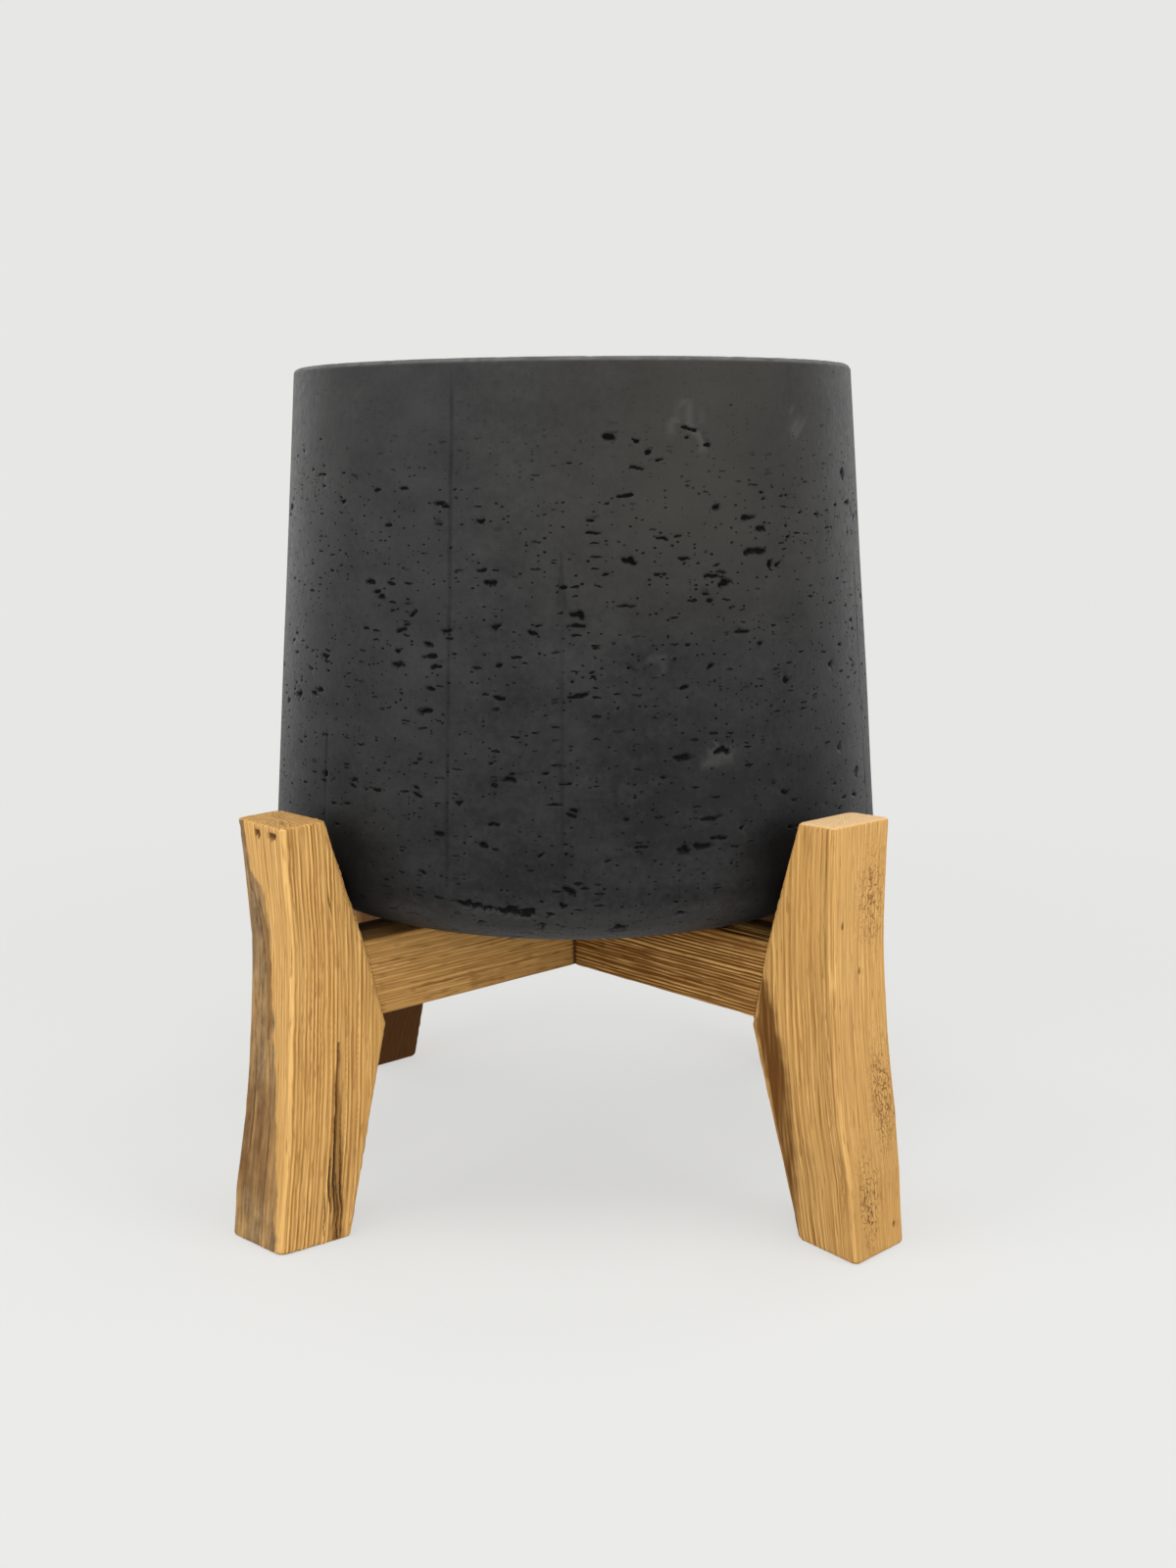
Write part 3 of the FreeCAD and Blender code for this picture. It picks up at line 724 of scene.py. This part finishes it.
def clay_tones(vertices):
    """How light, warm and porous the clay is at each vertex. The lightness is partly painted light: lighter
    towards the top, round the heel and along the rim top.
    """
    x, y, z = vertices.T
    height = z - POT_UNDERSIDE
    clouds = 0.6 * noise(x / 60, y / 60, z / 70) + 0.4 * noise(x / 21, y / 21, z / 30 + 7)
    # Painted light: lighter towards the top and round the heel, and a painted highlight along the rim top.
    tone_and_painted_light = 0.13 + 0.2 * clouds + 0.46 * ramp(50, 250, height)
    tone_and_painted_light += 0.6 * (1 - ramp(16, 32, height)) + 0.4 * ramp(POT_HEIGHT - 3, POT_HEIGHT - 1, height)
    angle = np.degrees(np.arctan2(y, x))
    front_patch = np.exp(-(((angle + 62) / 24) ** 2)) * ramp(120, 200, height)
    elsewhere = ramp(0.1, 0.8, noise(x / 90 + 3, y / 90, z / 110)) * (y > -40)
    warm = np.clip(0.75 * front_patch + 0.6 * elsewhere, 0, 1) * (0.75 + 0.25 * clouds)
    outside = np.hypot(x, y) > BELLY_RADIUS - RIM_TAPER - 4
    porous = (0.15 + 0.85 * ramp(0, 70, POT_HEIGHT - 10 - height)) * np.where(outside, 1.0, 0.4)
    return {"tone_and_painted_light": tone_and_painted_light, "warm": np.clip(warm, 0, 1), "porous": porous}


# Wood

SIDE_STEPS = 110  # columns on a leg's broad sides
FACE_STEPS = 76  # columns on its outer and inner faces
CORNER_STEPS = 8
LEG_ROWS = 150
EASING_ROWS = 5
END_SHARES = [0.04, 0.3, 0.55, 0.75, 0.9]
RING_SPACING = 1.5


def rounded_section(low, high, half_width, rounding, side_steps, face_steps):
    """A rectangle with round corners, from (high, -half_width) round by (high, half_width)."""
    low, high = low + rounding, high - rounding
    left, right = rounding - half_width, half_width - rounding
    arcs = []
    for turn, centre in enumerate([(high, left), (high, right), (low, right), (low, left)], start=-1):
        start, end = math.radians(90 * turn), math.radians(90 * turn + 90)
        arcs.append(arc_points(centre, rounding, start, end, CORNER_STEPS))
    points = []
    for arc, following, steps in zip(arcs, arcs[1:] + arcs[:1], [face_steps, side_steps] * 2):
        points += [arc, np.linspace(arc[-1], following[0], steps + 1)[1:-1]]
    return np.vstack(points)


def block_normals(places):
    """Outward normals of a block whose rows are closed loops."""
    around = np.roll(places, -1, axis=1) - np.roll(places, 1, axis=1)
    along = np.gradient(places, axis=0)
    normals = np.cross(around, along)
    return normals / np.maximum(np.linalg.norm(normals, axis=2, keepdims=True), 1e-9)


def block_faces(rows, columns):
    """Faces between the rows of a block, and one that closes each end."""
    numbers = closed_grid(rows, columns)
    return quads(numbers) + [numbers[0, -2::-1].tolist(), numbers[-1, :-1].tolist()]


def drawn_in(row, share):
    """A row drawn in towards its middle."""
    middle = row.mean(axis=0)
    return middle + (row - middle) * share


def close_ends(rows):
    """Add rows that draw in over each end of a block."""
    start = [drawn_in(rows[0], share) for share in END_SHARES]
    end = [drawn_in(rows[-1], share) for share in END_SHARES[::-1]]
    return np.array(start + rows + end)


def growth_rings(grain, pith, seed, strength):
    """Height of the brushed surface, and how much of a hard ridge it is."""
    across, side, along = np.moveaxis(grain, -1, 0)
    bend = 0.8 * noise(along / 110 + seed, across / 60)
    bend += 0.4 * noise(along / 26, (side + across) / 12, seed)
    bend += 0.14 * noise(along / 7, (side + across) / 5, seed + 3)
    away = (np.hypot(across - pith[0], side - pith[1]) + bend) / RING_SPACING
    away = away + 0.45 * noise(away / 1.7, seed)
    ring = np.floor(away)
    share = away - ring
    ridge = ramp(0.3, 0.6, share) * (1 - ramp(0.8, 1.0, share)) - 0.4
    ring_strength = 0.55 + 0.45 * LATTICE[(ring + 100 * seed).astype(int) % LATTICE_SIZE]
    patches = 0.85 + 0.6 * noise(across / 6, side / 6, along / 22 + seed)
    shown = ring_strength * np.clip(patches, 0.25, 1.3)
    fibres = noise(across * 1.4, side * 1.4, along / 14 + seed)
    uneven = noise(across / 24, side / 24, along / 60 + 2 * seed)
    height = strength * (0.6 * ridge * shown + 0.12 * fibres) + 0.2 * uneven
    return height, np.clip(0.45 + strength * (ridge * shown + 0.2 * fibres), 0, 1)


def line_strength(across, along, line, wander):
    """How strongly a line shows that holds (along, across, half width) from end to end."""
    ends, middles, widths = np.array(line).T
    middle = np.interp(along, ends, middles) + wander
    width = np.interp(along, ends, widths)
    inside = (along > ends[0]) & (along < ends[-1])
    return (1 - ramp(0.4, 1.0, np.abs(across - middle) / width)) * inside


class Timber:
    """A block of wood under way. places are reach, side and height; grain runs along its last axis."""

    def __init__(self, places, plain, grain, pith, seed, strength):
        self.places = places
        self.plain = plain
        self.grain = grain
        self.seed = seed
        self.normals = block_normals(places)
        self.height, self.ridge = growth_rings(grain, pith, seed, strength)
        names = ("pale", "weather", "stain_and_painted_shade", "crack_and_painted_shade", "worm")
        self.marks = {name: np.zeros(self.height.shape) for name in names}
        along = grain[..., 2]
        self.wander = 0.5 * noise(along / 7, seed) + 0.3 * noise(along / 2.5, seed + 5)

    def facing(self, axis, sign):
        """How squarely each place faces along an axis of the block."""
        return ramp(0.55, 0.9, sign * self.normals[..., axis])

    def add(self, mark, strength):
        self.marks[mark] = np.maximum(self.marks[mark], strength)

    def on_face(self, axis):
        """Places across and along the face of a leg that looks along the axis."""
        return self.plain[..., 1 - axis], self.plain[..., 2]

    def add_crack(self, axis, sign, line, depth, dark=0.9):
        """A split along a face."""
        shown = line_strength(*self.on_face(axis), line, self.wander) * self.facing(axis, sign)
        self.height -= depth * shown
        self.add("crack_and_painted_shade", dark * shown)

    def add_chip(self, place, size):
        """A small piece broken out of the outer face. place and size are (across, along)."""
        across, along = ((on - at) / reach for on, at, reach in zip(self.on_face(0), place, size))
        away = np.hypot(across, along) + 0.25 * noise(across * 2, along * 2, place[0])
        chip = (1 - ramp(0.7, 1.1, away)) * self.facing(0, 1)
        self.height -= 1.3 * chip
        self.add("stain_and_painted_shade", 0.95 * chip)
        self.add("crack_and_painted_shade", 0.45 * chip)

    def add_worm_patch(self, place, spread):
        """Worm tracks on the outer face. place and spread are (across, along)."""
        across, along = self.on_face(0)
        away = ((across - place[0]) / spread[0], (along - place[1]) / spread[1])
        patch = 1.1 * np.exp(-(away[0] ** 2) - away[1] ** 2) * self.facing(0, 1)
        self.add("worm", patch)
        pocked = ramp(0.35, 0.75, noise(across / 1.3, along / 2.1, self.seed))
        self.height -= 0.5 * patch * pocked

    def build(self, name, angle, material):
        """The finished piece, turned about the pot's axis to its place."""
        solid = self.places + self.normals * self.height[..., None]
        reach, side, height = (solid[..., axis].ravel() for axis in range(3))
        turn = math.radians(angle)
        x = reach * math.cos(turn) - side * math.sin(turn)
        y = reach * math.sin(turn) + side * math.cos(turn)
        marks = {mark: np.clip(values, 0, 1).ravel() for mark, values in self.marks.items()}
        marks["ridge"] = self.ridge.ravel()
        faces = block_faces(*self.places.shape[:2])
        piece = add_piece(name, np.column_stack([x, y, height]), faces, material, marks)
        stored = piece.data.attributes.new("grain", "FLOAT_VECTOR", "POINT")
        grain = (self.grain.reshape(-1, 3) + 1000 * self.seed) * MM
        stored.data.foreach_set("vector", grain.astype(np.float32).ravel())
        return piece


# Legs

LEG_ARC_CENTRE, LEG_ARC_RADIUS = circle_through(*LEG_OUTSIDE)

# How the outer faces of the hand-shaped front legs wander: height, and the shift in reach there of
# the face's edges at the negative and at the positive side.
OUTER_WANDER = {
    "front_left": [
        (0, -0.5, -3.0), (25, 1.0, -1.9), (58, -1.2, -1.4), (100, -2.2, -0.5),
        (140, -3.1, -0.7), (170, -0.8, 0.9), (LEG_HEIGHT, 1.0, 1.1),
    ],
    "front_right": [
        (0, 0.3, -1.5), (35, 2.5, 1.5), (62, -0.3, 1.8), (98, -1.0, -0.5),
        (140, -1.8, -2.0), (170, -2.4, -1.6), (LEG_HEIGHT, -2.9, -1.4),
    ],
}

# How their inner faces are shifted in reach and sideways, at the foot and at the top.
INNER_SHIFTS = {"front_left": ((-1.2, 3.5), (0, -2.5)), "front_right": ((1.5, 3.5), (1, -2))}

# Where the heart of the tree lay, outwards from a leg's outside and sideways, the leg's own seed,
# and how strongly its rings show.
LEG_PITHS = {
    "front_left": ((-150, -110), 1.3, 1.4),
    "front_right": ((-140, 150), 2.1, 0.6),
    "rear_left": ((130, -140), 3.7, 1.0),
    "rear_right": ((-160, -130), 4.4, 1.0),
}


def outer_reach(height):
    """Reach of a leg's hollow outside at a height."""
    return LEG_ARC_CENTRE[1] - np.sqrt(LEG_ARC_RADIUS**2 - (height - LEG_ARC_CENTRE[0]) ** 2)


def eased_rim(easing):
    """(distance from the end, inset) of the rows that ease the rim of a leg's end."""
    turns = np.linspace(0, math.pi / 2, EASING_ROWS)
    return [(easing * (1 - math.sin(turn)), easing * (1 - math.cos(turn))) for turn in turns]


def leg_rows():
    """(height, inset) of each row of a leg, from its foot up, with both end rims eased."""
    heights = np.linspace(LEG_FOOT_EASING, LEG_HEIGHT - LEG_TOP_EASING, LEG_ROWS)
    shaft = [(height, 0) for height in heights[1:-1]]
    top = [(LEG_HEIGHT - drop, inset) for drop, inset in eased_rim(LEG_TOP_EASING)]
    return eased_rim(LEG_FOOT_EASING)[::-1] + shaft + top


def own_shift(name, section, height, edges):
    """How far the points of one row are off the plain leg."""
    inside, outside, half_width = edges
    reach, side = section.T
    outward = ((reach - inside) / (outside - inside))[:, None]
    across = (side + half_width) / (2 * half_width)
    heights, at_low, at_high = np.array(OUTER_WANDER[name]).T
    low, high = np.interp(height, heights, at_low), np.interp(height, heights, at_high)
    outer = np.column_stack([low + (high - low) * across, np.zeros(len(section))])
    at_foot, at_top = np.array(INNER_SHIFTS[name])
    up = height / LEG_HEIGHT
    inner = at_foot * (1 - up) ** 2 + at_top * up**2
    return outward * outer + (1 - outward) * inner


def leg_places(name):
    """Places on a leg: with its own shifts, plain, and in the direction of its grain."""
    placed, plain = [], []
    for height, inset in leg_rows():
        edges = (follow(LEG_INSIDE, height), outer_reach(height), LEG_WIDTH / 2)
        eased = (edges[0] + inset, edges[1] - inset, edges[2] - inset)
        section = rounded_section(*eased, LEG_EDGE_ROUNDING, SIDE_STEPS, FACE_STEPS)
        shift = own_shift(name, section, height, edges) if name in OUTER_WANDER else 0
        level = np.full(len(section), height)
        plain.append(np.column_stack([section, level]))
        placed.append(np.column_stack([section + shift, level]))
    plain = close_ends(plain)
    grain = plain - outer_reach(plain[..., 2])[..., None] * (1, 0, 0)
    return close_ends(placed), plain, grain


def finish_leg(leg, top_paleness):
    """What all legs share: a planed outside and sawn ends, pale at the top and dirty at the foot."""
    flat = ramp(0.6, 0.95, np.abs(leg.normals[..., 2]))
    planed = 0.6 * leg.facing(0, 1)
    leg.height *= (1 - 0.85 * flat) * (1 - planed)
    leg.ridge += planed * (0.62 - leg.ridge)
    sawn_top, sawn_foot = (ramp(0.5, 0.95, sign * leg.normals[..., 2]) for sign in (1, -1))
    leg.add("pale", top_paleness * sawn_top * (0.6 + 0.7 * leg.ridge))
    leg.add("stain_and_painted_shade", 0.5 * sawn_foot)


# Front left leg: the edge of its grey weathering, (height, side), and its chips below the top, (side, size).
GREY_EDGE = [
    (0, 14), (25, 13.5), (40, 11), (77, 6), (116, 2.5), (134, 1), (153, 0), (165, -3), (172, -12),
]
TOP_CHIP_DROP = 4.5
TOP_CHIPS = [(-17.5, (1.6, 1.8)), (-2, (2.2, 2.0)), (9.4, (3.4, 1.9))]

# Its cracks and stains: (height, side or reach, half width) from end to end.
DARK_EDGE = [(95, 0, 2), (128, -1, 3), (146, -3, 2.5), (158, -6, 0.5)]
OUTER_CRACK = [(124, -4, 0.3), (136, -5.2, 1.0), (154, -8.5, 0.9), (163, -11.5, 0.3)]
FINE_CRACKS = [
    [(40, 4, 0.3), (80, 1, 0.7), (104, -1, 0.3)],
    [(20, -11, 0.3), (60, -10, 0.7), (110, -12, 0.3)],
]
SPLITS = [
    [(8, 171.5, 0.3), (24, 170.4, 0.8), (45, 168.8, 0.9), (66, 166.2, 0.7), (92, 163, 0.2)],
    [(2, 168, 0.4), (20, 167.2, 0.7), (44, 165.6, 0.4), (60, 164, 0.15)],
    [(14, 173.4, 0.3), (30, 172.6, 0.9), (40, 171.2, 0.3)],
    [(0, 170.3, 0.4), (16, 169.4, 0.5), (32, 168.9, 0.2)],
    [(4, 177, 0.3), (14, 176.5, 0.6), (24, 175.5, 0.2)],
    [(150, 163.5, 0.2), (156, 164, 0.5), (162, 164.2, 0.2)],
]
SPLIT_STAIN = [(0, 170.5, 4), (40, 168, 4.5), (92, 163, 1)]


def dress_front_left(leg):
    """Grey weathering and cracks on the outer face, chips at the top, splits near the foot."""
    reach, side, height = np.moveaxis(leg.plain, -1, 0)
    outer = leg.facing(0, 1)
    grey = ramp(-1.2, 1.2, follow(GREY_EDGE, height) - side + 2.5 * leg.wander)
    grey *= 0.85 + 0.3 * noise(side / 3, height / 28) + 0.2 * noise(side, height / 9, 3)
    leg.add("stain_and_painted_shade", 0.5 * grey * outer * ramp(14, 28, height) * (1 - ramp(60, 90, height)))
    leg.add("weather", outer * grey)
    leg.add("stain_and_painted_shade", 0.55 * line_strength(side, height, DARK_EDGE, leg.wander) * outer)
    leg.add_crack(0, 1, OUTER_CRACK, 1.2)
    for line in FINE_CRACKS:
        leg.add_crack(0, 1, line, 0.9, 0.6)
    for line in SPLITS:
        leg.add_crack(1, 1, line, 1.4, 1.0)
    split = line_strength(reach, height, SPLIT_STAIN, 1.5 * leg.wander)
    leg.add("stain_and_painted_shade", 0.6 * split * leg.facing(1, 1))
    for across, size in TOP_CHIPS:
        leg.add_chip((across, LEG_HEIGHT - TOP_CHIP_DROP), size)


# Front right leg: the edge of its hewn facet, (height, reach), its worm patches, (place, spread), and
# its chips, each place as (side, height). Its cracks are lines as above.
HEWN_EDGE = [(0, 165.5), (22, 165), (40, 164), (58, 162.5), (78, 160), (99, 154), (118, 148), (126, 141)]
WORM_PATCHES = [((7, 160), (8, 20)), ((9, 70), (7, 24)), ((-6, 25), (7, 22))]
SMALL_CHIP_SIZE = (0.9, 1.4)
SMALL_CHIPS = [(-9, 28), (11, 11), (-1, 128), (-12, 150)]
SIDE_CRACK = [(60, 186.5, 0.2), (90, 183.5, 0.5), (150, 181.2, 0.6), (190, 182.5, 0.3)]
LOW_SIDE_CRACK = [(20, 192, 0.2), (40, 189.5, 0.5), (58, 187.5, 0.2)]


def dress_front_right(leg):
    """A hewn, darker facet on the inner half of the front side, and worm tracks outside."""
    reach, side, height = np.moveaxis(leg.plain, -1, 0)
    inwards = follow(HEWN_EDGE, height) - reach
    front = ramp(0.2, 0.7, -leg.normals[..., 1])
    hewn = ramp(-2, 5, inwards + 1.5 * leg.wander) * front
    leg.height -= np.clip(inwards * HEWN_DEPTH / HEWN_RUN, 0, HEWN_DEPTH) * front
    leg.height += 0.45 * hewn * noise(reach * 0.8, height / 30, 8)
    leg.add("stain_and_painted_shade", hewn * (0.85 + 0.3 * noise(reach * 0.6, height / 25, 3)))
    leg.add("stain_and_painted_shade", 0.14 * leg.facing(0, 1) * (1 - ramp(60, 160, height)))
    leg.add("stain_and_painted_shade", 0.1 * front * (1 - ramp(30, 80, height)))
    leg.add("crack_and_painted_shade", 0.3 * hewn * (1 - leg.ridge))
    for place, spread in WORM_PATCHES:
        leg.add_worm_patch(place, spread)
    for place in SMALL_CHIPS:
        leg.add_chip(place, SMALL_CHIP_SIZE)
    leg.add_crack(1, -1, SIDE_CRACK, 0.5, 0.3)
    leg.add_crack(1, -1, LOW_SIDE_CRACK, 0.5, 0.5)


# Rear legs: cracks, and a worm patch, as above.
REAR_OUTER_CRACK = [(50, 3, 0.3), (90, 5, 0.9), (140, 4, 0.3)]
REAR_SIDE_CRACK = [(10, 176, 0.4), (45, 174, 1.0), (80, 171, 0.3)]
REAR_WORM_PATCH = ((-7, 60), (6, 24))


def dress_rear(leg, front):
    """Weathering, cracks, and painted shade on the inner faces. front is the sign of the side that looks to
    the front.
    """
    reach, side, height = np.moveaxis(leg.plain, -1, 0)
    patch = ramp(0.15, 0.7, noise(side / 14, height / 50, leg.seed)) * leg.facing(0, 1)
    leg.add("weather", 0.7 * patch)
    # Painted shade: the inner face, and the inner part of the side that looks to the front, are darkened
    # beside the pot.
    beside_pot = leg.facing(1, front) * (1 - ramp(158, 180, reach + 4 * leg.wander))
    painted_shade = np.maximum(leg.facing(0, -1), beside_pot)
    leg.add("stain_and_painted_shade", painted_shade)
    leg.add("crack_and_painted_shade", 0.5 * painted_shade)
    leg.add_crack(0, 1, REAR_OUTER_CRACK, 1.0)
    leg.add_crack(1, 1, REAR_SIDE_CRACK, 1.2)
    leg.add_worm_patch(*REAR_WORM_PATCH)


# What makes each leg's own looks, and how pale its sawn top is.
LEG_DRESS = {
    "rear_right": (partial(dress_rear, front=-1), 0.6),
    "rear_left": (partial(dress_rear, front=1), 0.6),
    "front_left": (dress_front_left, 0.0),
    "front_right": (dress_front_right, 0.6),
}


def make_legs(material):
    for name, angle in LEG_ANGLES.items():
        leg = Timber(*leg_places(name), *LEG_PITHS[name])
        dress, top_paleness = LEG_DRESS[name]
        finish_leg(leg, top_paleness)
        dress(leg)
        piece = leg.build(f"{name}_leg_wood", angle, material)
        stand_for(piece, f"{name}_leg", "stand")


# Crossbars

BAR_SIDE_STEPS = 76  # columns on a bar's upright sides
BAR_FACE_STEPS = 60  # columns on its top and underside
BAR_ARM_ROWS = 60
BAR_LAP_ROWS = 9
BAR_MIDDLE = (BAR_TOP + BAR_UNDERSIDE) / 2

# For each bar: its angle; where the heart of the tree lay, sideways and in height, with seed and
# strength as for the legs; the heights between which it runs through the joint; how dark its hollows
# are; and the sign of the side that looks to the front.
BARS = {
    "lower_crossbar": (45, ((60, -20), 5.2, 0.5), (BAR_UNDERSIDE, BAR_MIDDLE), 0.15, -1),
    "upper_crossbar": (135, ((75, 225), 6.6, 1.8), (BAR_MIDDLE, BAR_TOP), 0.85, 1),
}


def bar_places(notch_low, notch_high):
    """Places on a bar whose ends slant with the legs' seats and whose middle is halved."""
    edges = (BAR_UNDERSIDE, BAR_TOP, BAR_WIDTH / 2)
    section = rounded_section(*edges, BAR_EDGE_ROUNDING, BAR_SIDE_STEPS, BAR_FACE_STEPS)
    heights, sides = section.T
    rise = (heights - BAR_UNDERSIDE) / (BAR_TOP - BAR_UNDERSIDE)
    arm = BAR_LOWER_REACH + (BAR_UPPER_REACH - BAR_LOWER_REACH) * rise - LAP_HALF_WIDTH
    arms = [LAP_HALF_WIDTH + share * arm for share in np.linspace(0, 1, BAR_ARM_ROWS)]
    joint = np.linspace(-LAP_HALF_WIDTH, LAP_HALF_WIDTH, BAR_LAP_ROWS)
    halved = np.clip(heights, notch_low, notch_high)
    rows = [(-lengths, heights) for lengths in arms[::-1]]
    rows += [(np.full(len(heights), place), halved) for place in joint]
    rows += [(lengths, heights) for lengths in arms]
    return close_ends([np.column_stack([lengths, -sides, levels]) for lengths, levels in rows])


def dress_bar(bar, darkness, front):
    """Short dark streaks along the grain, painted shade on the top under the pot, and a dark line in the
    joint's corner.
    """
    length, side, height = np.moveaxis(bar.plain, -1, 0)
    dashes = noise(height * 0.9, length / 9, bar.seed) + 0.2 * noise(side, length / 3)
    hollow = darkness * (1 - bar.ridge)
    bar.add("stain_and_painted_shade", 0.1 + 0.2 * darkness + hollow + 0.4 * ramp(0.35, 0.75, dashes))
    # Painted shade: the top is darkened nearly black under the pot.
    top = bar.facing(2, 1) * ramp(-6, 12, -front * side)
    bar.add("stain_and_painted_shade", top)
    bar.add("crack_and_painted_shade", 0.95 * top)
    bar.add("crack_and_painted_shade", 0.85 * (1 - ramp(0.2, 1.6, np.abs(length) - LAP_HALF_WIDTH)))
    flat_end = ramp(0.6, 0.9, np.abs(bar.normals[..., 0]))
    inside = np.maximum(flat_end, np.abs(length) <= LAP_HALF_WIDTH + 0.01)
    bar.height = np.where(inside > 0.5, np.minimum(bar.height, 0) * 0.3, bar.height)


def make_crossbars(material):
    for name, (angle, pith, notch, darkness, front) in BARS.items():
        places = bar_places(*notch)
        bar = Timber(places, places, places[..., [1, 2, 0]], *pith)
        dress_bar(bar, darkness, front)
        stand_for(bar.build(f"{name}_wood", angle, material), name, "stand")


def dress_hidden_pieces():
    """Materials for the pieces that keep their CAD meshes: the bung and the dowels."""
    beech = make_plain_wood()
    dressed = {"drain_plug": (make_rubber(), "rubber_bung")}
    dressed.update({f"{name}_dowels": (beech, "dowel_wood") for name in LEG_ANGLES})
    for node, (material, slot) in dressed.items():
        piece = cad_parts[node]
        piece.data.materials.clear()
        piece.data.materials.append(material)


# Stage

BACKDROP = (0.799, 0.799, 0.783, 1)
FLOOR_REACH = 12.0
FLOOR_TONE = (0.72, 0.72, 0.706, 1)
FLOOR_BOUNCE = (0.35, 0.35, 0.34, 1)
WORLD_LEVEL = 0.25

# Soft boxes: place and width in metres, and power in watts. They look at a height on the pot's axis.
LIGHT_AIM = (0, 0, 0.2)
SOFT_LIGHTS = {
    "right_rim": ((1.3, 1.1, 0.5), 1.0, 6),
    "left_rim": ((-1.3, 1.1, 0.5), 1.0, 6),
    "right": ((1.3, -0.9, 0.5), 1.1, 16.5),
    "left": ((-1.3, -0.9, 0.5), 1.1, 17.5),
    "front": ((0.0, -1.9, 0.35), 1.2, 16),
    "top": ((0.1, -0.2, 1.9), 1.2, 20),
}


def ray_sees_backdrop(tree):
    """1 for rays from the camera and those mirrored or let through by a piece, 0 for the rest."""
    rays = add_node(tree, "LightPath").outputs
    mirrored = compute(tree, "MAXIMUM", rays["Is Glossy Ray"], rays["Is Transmission Ray"])
    return compute(tree, "MAXIMUM", rays["Is Camera Ray"], mirrored)


def mix_shaders(tree, share, first, second):
    return add_node(tree, "MixShader", {0: share, 1: first.outputs[0], 2: second.outputs[0]})


def make_floor():
    """A pale floor that fades into the backdrop and keeps a soft shadow."""
    corners = [(x * FLOOR_REACH, y * FLOOR_REACH, 0) for x, y in ((-1, -1), (1, -1), (1, 1), (-1, 1))]
    mesh = bpy.data.meshes.new("floor")
    mesh.from_pydata(corners, [], [(0, 1, 2, 3)])
    material, tree = new_material("pale_floor")
    away = add_node(tree, "VectorMath", {0: own_place(tree)}, operation="LENGTH").outputs["Value"]
    glow = add_node(tree, "Emission", {"Color": BACKDROP, "Strength": 1.0})
    matte = add_node(tree, "BsdfDiffuse", {"Color": FLOOR_TONE})
    bounce = add_node(tree, "BsdfDiffuse", {"Color": FLOOR_BOUNCE})
    seen = mix_shaders(tree, remap(tree, away, 0.25, 0.9, 0.3, 0.0), glow, matte)
    surface = mix_shaders(tree, ray_sees_backdrop(tree), bounce, seen)
    add_node(tree, "OutputMaterial", {"Surface": surface.outputs[0]})
    mesh.materials.append(material)
    floor = add_object("floor", mesh)


def make_world():
    """Weak light from all round; the camera sees the pale backdrop instead."""
    world = bpy.data.worlds.new("studio")
    world.use_nodes = True
    tree = world.node_tree
    tree.nodes.clear()
    soft = add_node(tree, "Background", {"Color": (1, 1, 1, 1), "Strength": WORLD_LEVEL})
    seen = add_node(tree, "Background", {"Color": BACKDROP, "Strength": 1.0})
    both = mix_shaders(tree, ray_sees_backdrop(tree), soft, seen)
    add_node(tree, "OutputWorld", {"Surface": both.outputs[0]})
    bpy.context.scene.world = world


def add_soft_light(name, place, size, power):
    """A square soft box that the camera doesn't see."""
    data = bpy.data.lights.new(name, "AREA")
    data.size = size
    data.energy = power
    light = add_object(name, data)
    light.visible_camera = False
    back = np.array(place, float) - LIGHT_AIM
    light.matrix_world = looking(back / np.linalg.norm(back), place)


def looking(back, place, roll=0.0):
    """Where something stands that looks along -back, turned by a roll in radians."""
    right = np.cross((0, 0, 1), back)
    right /= np.linalg.norm(right)
    up = np.cross(back, right)
    tilted_right = math.cos(roll) * right + math.sin(roll) * up
    tilted_up = math.cos(roll) * up - math.sin(roll) * right
    matrix = Matrix((tilted_right, tilted_up, back)).transposed().to_4x4()
    matrix.translation = place
    return matrix


# Camera, found from the photo's outlines: distances in metres, angles in radians, lens in millimetres.

CAMERA_DISTANCE = 0.9275
CAMERA_HEIGHT = 0.3575
CAMERA_AZIMUTH = math.radians(2.64)
CAMERA_YAW = -0.004
CAMERA_PITCH = 0.181
CAMERA_ROLL = -0.009
CAMERA_LENS = 42.7
CAMERA_SHIFT = 0.0128


def add_camera():
    data = bpy.data.cameras.new("camera")
    data.lens = CAMERA_LENS
    data.shift_x = CAMERA_SHIFT
    camera = add_object("camera", data)
    place = (
        CAMERA_DISTANCE * math.sin(CAMERA_AZIMUTH),
        -CAMERA_DISTANCE * math.cos(CAMERA_AZIMUTH),
        CAMERA_HEIGHT,
    )
    heading = CAMERA_YAW - CAMERA_AZIMUTH
    level = math.cos(CAMERA_PITCH)
    back = -np.array([math.sin(heading) * level, math.cos(heading) * level, -math.sin(CAMERA_PITCH)])
    camera.matrix_world = looking(back, place, CAMERA_ROLL)
    bpy.context.scene.camera = camera


wood = make_rustic_wood()
make_pot(make_fibre_clay())
make_legs(wood)
make_crossbars(wood)
dress_hidden_pieces()
make_floor()
make_world()
for name, settings in SOFT_LIGHTS.items():
    add_soft_light(name, *settings)
bpy.context.scene.view_settings.view_transform = "Standard"
add_camera()
